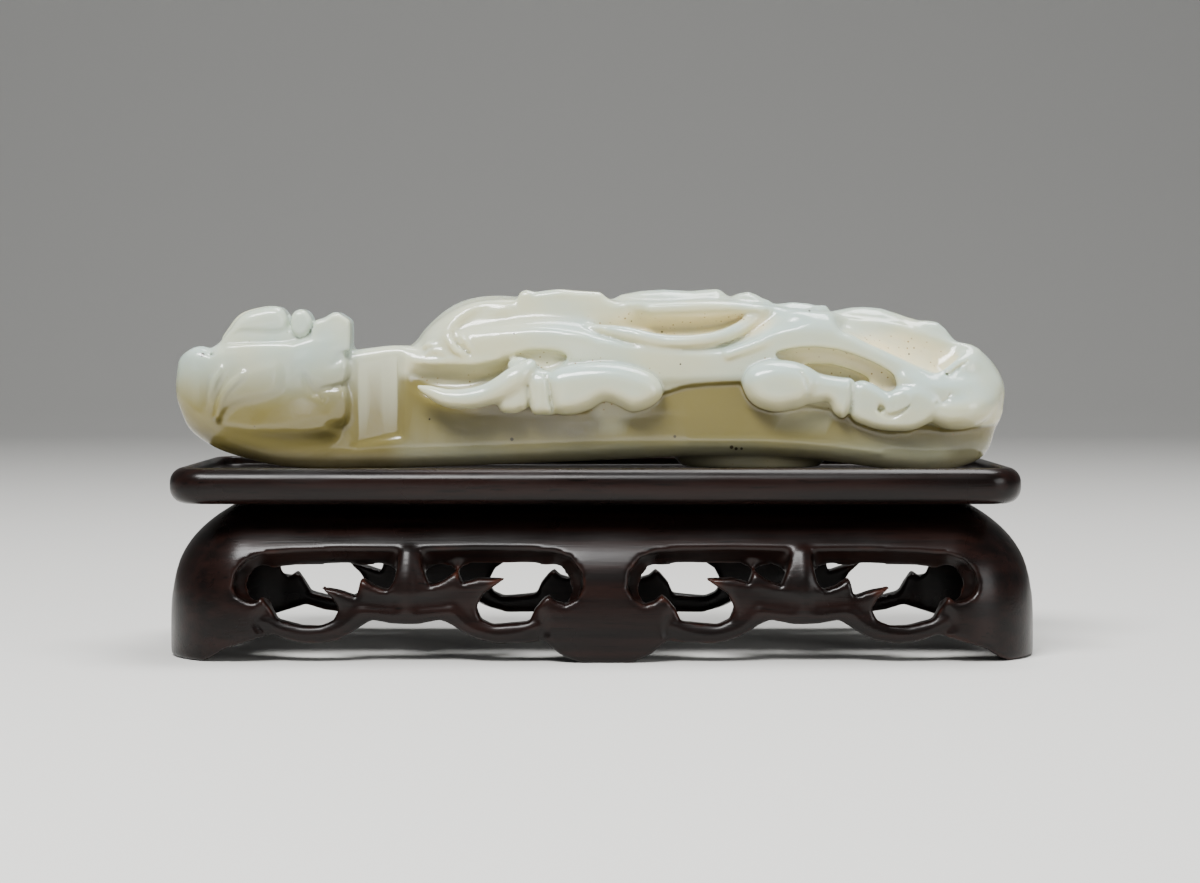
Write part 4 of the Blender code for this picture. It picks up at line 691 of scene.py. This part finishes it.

# %% [markdown]
# ## Where the stone changes colour, with painted light and shade
# A carver keeps the whitest layer of a pebble for the figure on top, and the bar under it is a darker, olive layer.
# The deep hollows go through to honey-coloured stone. So three tints are worked out. Olive lies on the bar's own skin
# and on the dragon head, more towards its bottom, partly the stone's own tone and partly painted shade where light
# from above falls off, and it thins at the very bottom as painted light. Honey lies where a hollow was cut deep into
# the mass, and over the lowest few millimetres as a painted lightening of the underside. Cream is a painted glow of
# warm light coming through the stone, on faces that look down and low on the piece. Two thin webs, below the elbow
# and the ankle, are paler patches on the bar.

# %% Olive with painted shade, honey with painted light, cream with painted glow
# honey spots are (x, z, half length, half height, strength)
honey_spots = [(13.1, 19.0, 10.5, 2.6, 0.9), (19.1, 19.9, 5.0, 2.6, 0.5), (33.8, 14.8, 9.0, 2.6, 1.0),
    (39.0, 12.4, 4.5, 3.2, 1.0), (41.8, 15.6, 8.5, 2.6, 0.75), (46.7, 13.5, 3.4, 2.4, 0.8),
    (-18.3, 11.6, 8.5, 2.2, 0.6), (-6.8, 14.2, 3.8, 1.7, 0.75), (24.6, 19.0, 5.5, 1.6, 0.55),
    (1.6, 20.7, 3.0, 1.6, 0.3), (-4.3, 20.7, 5.0, 1.4, 0.2)]
webs = [[(-0.5, 9.4), (3.7, 10.2), (7.3, 9.7), (8.4, 8.9), (5.5, 7.5), (3.9, 6.3), (2.6, 5.1),
    (1.1, 5.9)], [(23.9, 7.8), (27.8, 8.9), (31.2, 9.7), (33.3, 8.1), (31.0, 6.9), (28.6, 5.9),
    (26.3, 5.3)]]


def hook_tints(points, local):
    x, y, z = local.T
    rise = np.array([0.0, 0.0, 1.0])
    upward = (at_points(stone.far, points + rise) - at_points(stone.far, points - rise)) / (2 * stone.step)
    above_bar = at_points(bar_alone, points)
    cut_in = -at_points(whole_mass, points)
    # the olive on the bar is partly its own layer and partly painted shade
    on_bar = (1.0 - smooth((above_bar - 0.2) / 0.6)) * smooth((13.0 - z) / 1.6)
    on_bar *= 1.0 - 0.8 * smooth((cut_in - 0.9) / 1.2) * smooth((z - 7.6) / 1.4)
    front = smooth((x + 29.0) / 2.0) * smooth((-1.0 - x) / 3.0)
    flush = np.maximum(smooth((9.7 - np.abs(y)) / 0.3) * smooth((9.6 - z) / 1.0), smooth((7.5 - z) / 0.8))
    on_bar = np.maximum(on_bar, flush * front)
    web = np.zeros(len(x))
    for outline in webs:
        web = np.maximum(web, smooth((0.9 - outline_distance(np.array(outline), x, z)) / 1.8) * (y < 0))
    # painted light: the olive thins towards the very bottom, lightening the underside
    under = on_bar * (0.6 + 0.4 * smooth((z - 0.5) / 5.0)) * (1.0 - 0.55 * web)
    # painted shade: the dragon head turns more olive towards its bottom, where less light falls
    painted_shade_on_head = smooth((17.0 - z) / 10.0)
    ahead = smooth((x + 27.5) / 4.0)
    honey_and_painted_light = np.zeros(len(x))
    for at_x, at_z, across, high, strength in honey_spots:
        spot = np.hypot((x - at_x) / across, (z - at_z) / high)
        honey_and_painted_light = np.maximum(honey_and_painted_light, strength * smooth((1.45 - spot) / 0.8))
    honey_and_painted_light *= smooth((cut_in - 0.5) / 1.6) * (1.0 - on_bar)
    # painted light: a honey tint over the lowest 3.4 mm lightens the underside
    honey_and_painted_light = np.maximum(honey_and_painted_light, 0.45 * smooth((3.4 - z) / 3.4))
    # painted glow: cream on faces that look down and low on the piece, for warm light coming through the stone, and on
    # the two webs
    cream_and_painted_glow = np.maximum(smooth((0.55 - upward) / 1.1), 0.7 * smooth((9.8 - z) / 2.4))
    cream_and_painted_glow = np.maximum(cream_and_painted_glow * (1.0 - on_bar) * ahead, web)
    return {"olive_and_painted_shade": painted_shade_on_head * (1.0 - ahead) + under * ahead, "honey_and_painted_light": honey_and_painted_light, "cream_and_painted_glow": cream_and_painted_glow}


jade_hook = to_object("jade_hook", stone, on_hook, tints=hook_tints)

# %% [markdown]
# ## Polishing
# A light smoothing takes off the marks of the grid, as the last polish with leather does on the stone. A second
# modifier thins the faces where the skin is flat. Both are applied at once, so that the mesh holds the result.

# %% Polish
MOST_TRIANGLES = 192000


def polish(item):
    bpy.ops.object.select_all(action="DESELECT")
    item.select_set(True)
    bpy.context.view_layer.objects.active = item
    leather = item.modifiers.new("polish", "SMOOTH")
    leather.factor, leather.iterations = 0.4, 2
    bpy.ops.object.modifier_apply(modifier=leather.name)
    triangles = 2 * len(item.data.polygons)
    if triangles > MOST_TRIANGLES:
        thin = item.modifiers.new("thin", "DECIMATE")
        thin.ratio = MOST_TRIANGLES / triangles
        bpy.ops.object.modifier_apply(modifier=thin.name)
    bpy.ops.object.shade_smooth()
    print(item.name, "polished:", sum(len(face.vertices) - 2 for face in item.data.polygons), "triangles")


polish(jade_hook)
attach(jade_hook, "root")
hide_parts("belt_hook")

# %% [markdown]
# ## The stand: tray, waist and base
# The stand is carved from one plank: a tray with a raised rim and a rounded edge, a narrow waist, and a hollow base
# that swells from the waist over a shoulder down to the feet. Seen from above each is a rectangle with round corners,
# so one distance does for all, and only how far it spreads changes with height.

# %% Stand sizes
TRAY_LENGTH, TRAY_DEPTH, TRAY_CORNER, TRAY_SHIFT = 108.6, 40.0, 5.0, -0.85
TRAY_TOP, TRAY_UNDER, RIM_WIDTH, WELL_DEPTH = 24.5, 19.9, 2.4, 1.4
WAIST_LENGTH, WAIST_DEPTH, WAIST_CORNER, WAIST_BOTTOM = 94.8, 24.0, 3.0, 19.6
FOOT_SPREAD, SHOULDER_POWER, WALL, CEILING, FRONT_MIDDLE = 8.6, 4.2, 3.4, 15.3, 0.4
STAND_STEP = 0.34
wood = Block((-57.0, -21.6, -0.8), (57.0, 21.6, 25.4), STAND_STEP)
print("the stand's block has", wood.far.size, "points")


def rounded_plan(half_x, half_y, corner, shift=0.0):
    """The distance from a rectangle with round corners, seen from above."""
    x, y = np.abs(wood.x - shift) - (half_x - corner), np.abs(wood.y) - (half_y - corner)
    return np.hypot(np.maximum(x, 0), np.maximum(y, 0)) + np.minimum(np.maximum(x, y), 0) - corner


def spread(z):
    """How far the base stands out from the waist at a height."""
    below = np.clip((WAIST_BOTTOM - z) / WAIST_BOTTOM, 0.0, 1.0)
    return FOOT_SPREAD * (1.0 - (1.0 - below) ** SHOULDER_POWER)


# %% Tray, waist and hollow base
tray_plan = rounded_plan(TRAY_LENGTH / 2, TRAY_DEPTH / 2, TRAY_CORNER, TRAY_SHIFT)
tray = round_max(tray_plan, np.abs(wood.z - (TRAY_TOP + TRAY_UNDER) / 2) - (TRAY_TOP - TRAY_UNDER) / 2, 1.9)
tray = soft_max(tray, -round_max(tray_plan + RIM_WIDTH, TRAY_TOP - WELL_DEPTH - wood.z, 0.4), 0.5)
waist_plan = rounded_plan(WAIST_LENGTH / 2, WAIST_DEPTH / 2, WAIST_CORNER)
waist = np.maximum(waist_plan, np.maximum(WAIST_BOTTOM - 3.0 - wood.z, wood.z - TRAY_UNDER - 1.0))
outside = waist_plan - spread(wood.z)
outside = round_max(outside, wood.z - WAIST_BOTTOM, 0.4)
inner = np.maximum(waist_plan - spread(wood.z) + WALL, wood.z - CEILING)
base = soft_max(outside, -inner, 0.5)
base = round_max(base, -wood.z, 0.5)
wood.far = soft_min(soft_min(tray, waist, 0.5), base, 0.5).astype(np.float32)
print("tray, waist and base take", int((wood.far < 0).sum() * STAND_STEP**3), "cubic mm")

# %% [markdown]
# ## Openwork
# Each long side has two windows beside a shield-shaped centre foot, and in each window a scrolling rail with leaf
# tips grows from a post. The outlines below are the gaps that the saw and the knife took out. The edges are eased,
# because hand-cut wood has no knife-sharp edges left after years of wax.

# %% Windows and the spaces under the rails
window_left = [(-46.6, 9.6), (-46.3, 11.3), (-45.2, 12.7), (-43.0, 13.6), (-39.0, 14.1), (-33.0, 14.4),
    (-25.5, 14.3), (-25.7, 12.4), (-26.3, 10.2), (-27.1, 9.1), (-28.8, 9.6), (-30.4, 10.7), (-31.0, 8.3),
    (-33.0, 9.0), (-35.5, 9.5), (-34.0, 8.1), (-33.2, 6.8), (-33.9, 5.3), (-35.4, 4.5), (-38.0, 4.6),
    (-41.0, 5.4), (-41.8, 6.8), (-42.9, 8.3), (-43.8, 7.6), (-45.0, 7.8), (-46.1, 8.5)]
window_right = [(-23.2, 14.3), (-22.7, 12.0), (-21.8, 9.7), (-20.2, 10.2), (-18.3, 11.6), (-17.7, 10.0),
    (-15.6, 10.6), (-12.3, 10.5), (-15.0, 8.7), (-15.9, 6.9), (-15.3, 5.4), (-13.8, 4.7), (-11.6, 4.9),
    (-9.2, 5.1), (-8.5, 6.7), (-7.4, 8.0), (-6.7, 8.5), (-5.9, 7.7), (-4.6, 7.3), (-3.2, 8.0),
    (-2.4, 9.4), (-2.6, 11.3), (-4.0, 13.1), (-6.0, 14.0), (-9.0, 14.5), (-16.0, 14.6)]
under_front = [(-50.3, -3.0), (-50.2, 0.1), (-47.7, 1.7), (-45.5, 2.4), (-41.6, 3.6), (-39.0, 2.8),
    (-36.4, 2.45), (-33.4, 2.8), (-31.0, 4.2), (-28.9, 5.5), (-26.6, 5.0), (-23.2, 4.9), (-20.6, 5.5),
    (-18.5, 4.6), (-16.0, 3.3), (-13.4, 2.45), (-9.5, 2.5), (-7.4, 2.8), (-5.4, 1.1), (-3.2, 0.0),
    (-3.2, -3.0)]
half_end = [(0.0, 12.6), (4.0, 12.2), (8.0, 12.8), (10.6, 11.4), (11.2, 9.0), (9.6, 7.2), (7.6, 7.0),
    (5.4, 5.8), (2.6, 6.4), (0.0, 8.0)]
half_under = [(11.0, -3.0), (11.0, 0.1), (8.6, 2.2), (5.2, 2.8), (2.4, 2.8), (0.0, 3.8)]


def mirrored(outline):
    return [(2 * FRONT_MIDDLE - x, z) for x, z in outline]


def coved(outline):
    """The window inside the apron: lower at its top and narrower at its outer ends than at the face."""
    x, z = np.array(outline, float).T
    out = np.abs(x)
    above = smooth(z - 7.4)
    shift = 3.0 * smooth((out - 40.0) / 6.0) * above - 3.5 * smooth((8.0 - out) / 5.5) * above
    return np.stack([x - np.sign(x) * shift, z - 3.1 * smooth((z - 11.3) / 2.1)], axis=1)


def cut_through(outline, axis, ease, inner=None):
    """Cuts an outline right through the base, across it along Y or along it on X; an inner outline leaves a cove."""
    across = wood.axes[0][:, None] if axis == "Y" else wood.axes[1][:, None]
    flat = outline_distance(np.array(outline, float), across, wood.axes[2][None, :]).astype(np.float32)
    flat = flat[:, None, :] if axis == "Y" else flat[None, :, :]
    if inner is not None:
        deep = outline_distance(inner, across, wood.axes[2][None, :]).astype(np.float32)[:, None, :]
        share = np.clip((18.4 - np.abs(wood.axes[1])) / 3.0, 0.0, 1.0)[None, :, None].astype(np.float32)
        flat = flat + (deep - flat) * share
    wood.far = soft_max(wood.far, -flat, ease)


for outline in (window_left, window_right):
    for gap in (outline, mirrored(outline)):
        cut_through(gap, "Y", 0.5, coved(gap))
cut_through(under_front, "Y", 0.6)
cut_through(mirrored(under_front), "Y", 0.6)
cut_through(half_end + [(-y, z) for y, z in reversed(half_end[1:-1])], "X", 0.55)
cut_through(half_under + [(-y, z) for y, z in reversed(half_under[:-1])], "X", 0.55)
print("with its openings the stand takes", int((wood.far < 0).sum() * STAND_STEP**3), "cubic mm")

# %% [markdown]
# ## Relief on the rails
# The rails are not flat boards: each strand is rounded, swells at its middle and slips under the next one. A low
# rounded tube along each strand gives that, on the near and the far side alike.

# %% Rounded strands and the shield
def face_at(z):
    """How far the long side stands from the middle at a height."""
    return WAIST_DEPTH / 2 + float(spread(z))


rail_field = [(-43.5, 4.4), (-40.0, 2.2), (-36.4, 1.4), (-32.8, 1.9), (-28.6, 4.2), (-24.7, 4.0),
    (-20.8, 4.2), (-16.6, 1.9), (-13.0, 1.4), (-9.4, 1.8), (-6.9, 3.6), (-8.0, 7.2), (-12.0, 9.4),
    (-18.0, 9.6), (-24.7, 8.4), (-31.4, 9.6), (-38.0, 9.2), (-42.4, 7.4)]
for flip in (False, True):
    field = spline(mirrored(rail_field) if flip else rail_field, closed=True)
    for side in (-1, 1):  # the rails lie 0.4 mm behind the feet
        wood.leaf(field, side * 22.6, 2.4, radius=0.5, blend=0.45, cut=True)


FOOT_FRONT = WAIST_DEPTH / 2 + FOOT_SPREAD - 0.14  # strands stay behind the face of the feet


def strand(knots, blend):
    """A rounded strand through (x, z, radius, how far it stands out), on all four windows."""
    for flip in (False, True):
        for side in (-1, 1):
            path = []
            for x, z, radius, out in knots:
                x = 2 * FRONT_MIDDLE - x if flip else x
                front = min(face_at(z) + out, FOOT_FRONT)
                path.append((x, side * (front - radius), z, radius))
            wood.tube(path, blend)


for blend, knots in (
    (0.5, [(-42.4, 5.2, 0.5, 0.1), (-40.0, 4.0, 0.8, 0.25), (-36.6, 3.5, 0.95, 0.35),
        (-33.0, 4.4, 1.0, 0.35), (-30.6, 6.2, 1.0, 0.2)]),
    (0.5, [(-30.0, 6.4, 0.7, 0.1), (-28.4, 6.2, 0.8, 0.3), (-24.7, 5.9, 0.95, 0.45),
        (-21.2, 6.2, 0.8, 0.3), (-19.4, 6.4, 0.7, 0.1)]),
    (0.5, [(-19.0, 6.4, 1.0, 0.2), (-16.6, 4.4, 1.0, 0.35), (-13.4, 3.5, 0.95, 0.35),
        (-10.4, 3.8, 0.8, 0.25), (-8.4, 4.6, 0.5, 0.1)]),
    (0.7, [(-24.7, 7.0, 1.5, 0.1), (-24.7, 10.0, 1.2, 0.3), (-24.6, 13.4, 0.9, 0.1)]),
):
    strand(knots, blend)
print("strands rounded")


stand = to_object("hardwood_stand", wood, wide=2.0, fine=0.7)
polish(stand)
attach(stand, "root")
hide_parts("carved_stand")

# %% [markdown]
# ## Colours and nodes
# Colours are written as a painter reads them from a chart, as sRGB hex values, and one function turns them into the
# linear numbers that light is reckoned in. One small function adds a node with its settings and links, because a
# material is then read from top to bottom like a recipe: patterns first, then where each colour lies, then colours.

# %% Colour and node helpers
def colour(hex_value):
    channels = [int(hex_value[i : i + 2], 16) / 255 for i in (1, 3, 5)]
    linear = [c / 12.92 if c <= 0.04045 else ((c + 0.055) / 1.055) ** 2.4 for c in channels]
    return (*linear, 1.0)


def wire(tree, node, **sockets):
    """Sets or links a node's sockets; a value may be a number, a colour or another node's output."""
    for key, value in sockets.items():
        socket = node.inputs[int(key[1:])] if key[0] == "_" else node.inputs[key.replace("_", " ")]
        if isinstance(value, bpy.types.NodeSocket):
            tree.links.new(value, socket)
        else:
            socket.default_value = value


def add(tree, kind, settings=None, out=0, **sockets):
    """Adds a node with its settings and links, and gives one of its outputs."""
    node = tree.nodes.new("ShaderNode" + kind)
    for key, value in (settings or {}).items():
        setattr(node, key, value)
    wire(tree, node, **sockets)
    return node.outputs[out]


def new_material(name):
    material = bpy.data.materials.new(name)
    material.use_nodes = True
    tree = material.node_tree
    return material, tree, tree.nodes["Principled BSDF"], add(tree, "TexCoord", out="Object")


def dress(item, material):
    item.data.materials.clear()
    item.data.materials.append(material)


COLOURS = {"data_type": "RGBA"}
SOFT = {"interpolation_type": "SMOOTHSTEP"}
TIMES = {"operation": "MULTIPLY"}
print("cream is", [round(c, 3) for c in colour("#CCC499")[:3]])

# %% [markdown]
# ## Nephrite
# Nephrite is a felt of fine fibres, ground with abrasive sand and polished on leather. Light goes a few millimetres
# into it before it comes out, so it glows softly at thin edges, and its polish is waxy, with small bright lights.
# Here the open tops are a pale greenish white, the hollows keep honey-coloured skin and pits, the bar is a little
# more olive, partly its own tone and partly painted shade, faces that look down carry a painted warm glow, the
# underside has a painted lightening, and a few dark specks lie in the stone.

# %% Nephrite, ground and waxy-polished
jade, tree, shader, place = new_material("nephrite_waxy_polish")
hollow, olive_and_painted_shade, honey_and_painted_light, cream_and_painted_glow = [
    add(tree, "Attribute", {"attribute_name": title}, "Fac") for title in ("hollow", "olive_and_painted_shade", "honey_and_painted_light", "cream_and_painted_glow")
]
# patterns: clouds of 14 mm, mottling of 2.2 mm, pits 0.75 mm apart and specks 6.5 mm apart; the stone's real grain
# is too fine for the picture, so it is drawn 0.45 mm wide
cloud, mottle, grain = [
    add(tree, "TexNoise", Vector=place, Scale=1 / (size * MM), Detail=detail)
    for size, detail in ((14, 3.0), (2.2, 4.0), (0.45, 2.0))
]
pits, specks = [add(tree, "TexVoronoi", Vector=place, Scale=1 / (size * MM)) for size in (0.75, 6.5)]
# dust stays in hollows and in the honey-coloured skin, in patches
uneven = add(tree, "MapRange", _0=mottle, _1=0.3, _2=0.6, _3=0.7, _4=1.0)
honey_and_painted_light = add(tree, "Math", TIMES, _0=honey_and_painted_light, _1=uneven)
clouded, sunk, mottled, patched, low, yellow, pit, speck = [
    add(tree, "MapRange", SOFT, _0=value, _1=start, _2=end)
    for value, start, end in (
        (cloud, 0.35, 0.68), (hollow, 0.60, 0.86), (mottle, 0.25, 0.62), (mottle, 0.42, 0.55),
        (hollow, 0.52, 0.70), (honey_and_painted_light, 0.2, 0.7), (pits, 0.21, 0.10), (specks, 0.020, 0.012),
    )
]
dusty = add(tree, "Math", {"operation": "MAXIMUM"}, _0=low, _1=yellow)
cream_and_painted_glow, stained, dusty = [
    add(tree, "Math", TIMES, _0=one, _1=other) for one, other in ((cream_and_painted_glow, 0.85), (sunk, mottled), (dusty, patched))
]
stain, pit_here = [
    add(tree, "Math", TIMES, _0=one, _1=other) for one, other in ((stained, 0.25), (pit, dusty))
]
body = add(tree, "Mix", COLOURS, 2, _0=clouded, _6=colour("#B1C3BC"), _7=colour("#C5C9B1"))
# olive carries painted shade as well as the bar's own tone, cream a painted glow on faces that look down, honey also a
# painted lightening of the underside
for share, tint in (
    (cream_and_painted_glow, "#CCC499"), (olive_and_painted_shade, "#7C7243"), (stain, "#C9B98A"), (honey_and_painted_light, "#E4D8AC"), (pit_here, "#8F7444"),
    (speck, "#5A5238"),
):
    body = add(tree, "Mix", COLOURS, 2, _0=share, _6=body, _7=colour(tint))
# the dark specks that the photograph shows, as (x, z, radius) on the carved block
dark_specks = [(-10.4, 4.0, 0.28), (5.2, 19.4, 0.18), (9.2, 18.0, 0.22), (11.5, 13.8, 0.17),
    (-10.1, 17.8, 0.18), (-21.2, 6.6, 0.17), (18.2, 3.0, 0.30), (19.5, 2.8, 0.22), (28.4, 20.8, 0.20),
    (41.5, 15.1, 0.18), (18.8, 2.8, 0.26), (10.8, 4.4, 0.24), (-50.8, 15.0, 0.32)]
BLOCK_SHIFT, BLOCK_LIFT = 1.35, 23.75
FLAT = (1.0, 0.05, 1.0)  # a speck goes through the bar, so its depth hardly counts
seen = add(tree, "VectorMath", TIMES, _0=place, _1=FLAT)
for x, z, radius in dark_specks:
    centre = ((x - BLOCK_SHIFT) * MM, -0.4 * MM, (z + BLOCK_LIFT) * MM)
    away = add(tree, "VectorMath", {"operation": "DISTANCE"}, "Value", _0=seen, _1=centre)
    dark = add(tree, "MapRange", SOFT, _0=away, _1=radius * MM, _2=radius * 0.6 * MM)
    body = add(tree, "Mix", COLOURS, 2, _0=dark, _6=body, _7=colour("#37301F"))
relief = add(tree, "Math", {"operation": "MULTIPLY_ADD"}, _0=pit_here, _1=-2.0, _2=grain)
bump = add(tree, "Bump", Height=relief, Strength=0.12, Distance=0.05 * MM)
rough = add(tree, "MapRange", _0=stained, _3=0.15, _4=0.36)
wire(
    tree, shader, Base_Color=body, Normal=bump, Roughness=rough, IOR=1.61, Subsurface_Weight=0.7,
    Subsurface_Radius=(1.0, 1.0, 0.75), Subsurface_Scale=1.5 * MM,
)
dress(jade_hook, jade)
print("nephrite has", len(tree.nodes), "nodes")

# %% [markdown]
# ## Waxed hardwood
# The stand is a dark, close-grained hardwood, stained nearly black and waxed. Fine pores run along its length, the
# raised edges and feet are rubbed back to red-brown, and the hollows are drawn a little darker. Wax on a cut surface
# gives a soft, broad light and no sharp reflection.

# %% Hardwood, knife-cut, stained and waxed
wood_look, tree, shader, place = new_material("dark_hardwood_waxed")
hollow, edge = [add(tree, "Attribute", {"attribute_name": title}, "Fac") for title in ("hollow", "edge")]
along_grain = add(tree, "Mapping", _0=place, _3=(0.06, 1.0, 1.0))
# patterns: streaks of 1.6 mm along the grain and rubbed patches of 9 mm; real pores are about 0.1 mm wide, too fine
# for the picture, so they are drawn 0.28 mm wide
streak, pore, patch = [
    add(tree, "TexNoise", Vector=vector, Scale=1 / (size * MM), Detail=detail)
    for vector, size, detail in ((along_grain, 1.6, 5.0), (along_grain, 0.28, 2.0), (place, 9, 3.0))
]
streaked, pored, worn, patched, darker_in_hollows = [
    add(tree, "MapRange", SOFT, _0=value, _1=start, _2=end)
    for value, start, end in (
        (streak, 0.35, 0.68), (pore, 0.60, 0.72), (edge, 0.40, 0.26), (patch, 0.38, 0.62), (hollow, 0.60, 0.78),
    )
]
rubbed = add(tree, "Math", TIMES, _0=worn, _1=patched)
body = add(tree, "Mix", COLOURS, 2, _0=streaked, _6=colour("#0B0605"), _7=colour("#1A0D0A"))
# the hollows are drawn a little darker, by the hollow measure
for share, tint in ((pored, "#050302"), (rubbed, "#33180F"), (darker_in_hollows, "#080504")):
    body = add(tree, "Mix", COLOURS, 2, _0=share, _6=body, _7=colour(tint))
relief = add(tree, "Math", {"operation": "MULTIPLY_ADD"}, _0=pore, _1=-0.6, _2=streak)
bump = add(tree, "Bump", Height=relief, Strength=0.3, Distance=0.08 * MM)
rough = add(tree, "MapRange", _0=patch, _1=0.3, _2=0.7, _3=0.24, _4=0.38)
wire(
    tree, shader, Base_Color=body, Normal=bump, Roughness=rough, IOR=1.45, Specular_IOR_Level=0.2,
    Coat_Weight=0.1, Coat_Roughness=0.22,
)
dress(stand, wood_look)
print("hardwood has", len(tree.nodes), "nodes")

# %% [markdown]
# ## Floor, lights and camera
# The floor is a sheet of pale paper that bends up far behind the piece, so no edge shows between floor and wall. Four
# soft lights stand round it: a long one high in front on the left draws the bright lines on the jade's upper edges,
# one overhead and one on the right lift the shadows, and a small upright strip low in front gives the stone's neck its
# bright mark. The camera is almost level with the piece, as the photographer's was, and looks down by two degrees.

# %% Floor
SHEET_WIDTH, FLOOR_FRONT, BEND_START, BEND_RADIUS, WALL_TOP = 6.0, -1.6, 0.8, 0.6, 2.6
bpy.ops.object.select_all(action="DESELECT")
bpy.ops.mesh.primitive_plane_add(size=1.0, location=(0.0, (FLOOR_FRONT + BEND_START) / 2, 0.0))
floor = bpy.context.object
floor.name = floor.data.name = "floor"
floor.scale = (SHEET_WIDTH, BEND_START - FLOOR_FRONT, 1.0)
bpy.ops.object.transform_apply()
bpy.ops.object.mode_set(mode="EDIT")
bpy.ops.mesh.select_all(action="DESELECT")
bpy.ops.object.mode_set(mode="OBJECT")
for point in floor.data.vertices:
    point.select = point.co.y > 0.0
# the far edge is spun up by a quarter turn and then drawn straight up
bpy.ops.object.mode_set(mode="EDIT")
bend_middle = (0.0, BEND_START, BEND_RADIUS)
bpy.ops.mesh.spin(steps=9, angle=math.radians(90), center=bend_middle, axis=(-1, 0, 0))
bpy.ops.mesh.extrude_region_move(TRANSFORM_OT_translate={"value": (0.0, 0.0, WALL_TOP - BEND_RADIUS)})
bpy.ops.object.mode_set(mode="OBJECT")
bpy.ops.object.shade_smooth()
# uncoated paper: pale, dull and without a mirror light
paper, tree, shader, place = new_material("pale_paper")
wire(tree, shader, Base_Color=colour("#D9D8D4"), Roughness=0.6)
dress(floor, paper)
print("the sheet is", SHEET_WIDTH, "m wide and rises to", WALL_TOP, "m")

# %% Lights
PIECE_MIDDLE = (0, 0, 0.03)
STONE_NECK = (-0.030, 0, 0.034)
for name, place, size, power, aim in (
    ("key", (-0.14, -0.32, 0.46), (0.30, 0.15), 5.8, PIECE_MIDDLE),
    ("top", (0.12, 0.10, 0.60), (0.36, 0.24), 4.0, PIECE_MIDDLE),
    ("fill", (0.55, -0.45, 0.22), (0.30, 0.30), 1.6, PIECE_MIDDLE),
    ("strip", (-0.092, -0.69, 0.030), (0.022, 0.056), 0.035, STONE_NECK),
):
    light = bpy.data.lights.new(name, "AREA")
    light.shape, light.size, light.size_y, light.energy = "RECTANGLE", size[0], size[1], power
    item = bpy.data.objects.new(name, light)
    bpy.context.scene.collection.objects.link(item)
    item.location = place
    item.rotation_euler = (Vector(aim) - Vector(place)).to_track_quat("-Z", "Y").to_euler()
    print(name, "light:", power, "W")
world = bpy.data.worlds.new("studio")
bpy.context.scene.world = world
world.use_nodes = True
wire(world.node_tree, world.node_tree.nodes["Background"], Color=colour("#C9CCD0"), Strength=0.24)

# %% Camera
PHOTO_WIDTH, FOCAL_PIXELS, SENSOR_WIDTH, LOOKING_DOWN = 1200, 2572, 36.0, 2.15
camera = bpy.data.objects.new("camera", bpy.data.cameras.new("camera"))
bpy.context.scene.collection.objects.link(camera)
bpy.context.scene.camera = camera
camera.data.sensor_width = SENSOR_WIDTH
camera.data.lens = SENSOR_WIDTH * FOCAL_PIXELS / PHOTO_WIDTH
camera.data.clip_start = 0.01
camera.location = (-0.27 * MM, -343 * MM, 40.04 * MM)
camera.rotation_euler = (math.radians(90 - LOOKING_DOWN), 0.0, 0.0)
print("camera at", [round(c, 4) for c in camera.location])

# %% [markdown]
# ## Finish
# The dressed model has to keep to the box that the solids were packed with.

# %% Finish
bpy.context.view_layer.update()
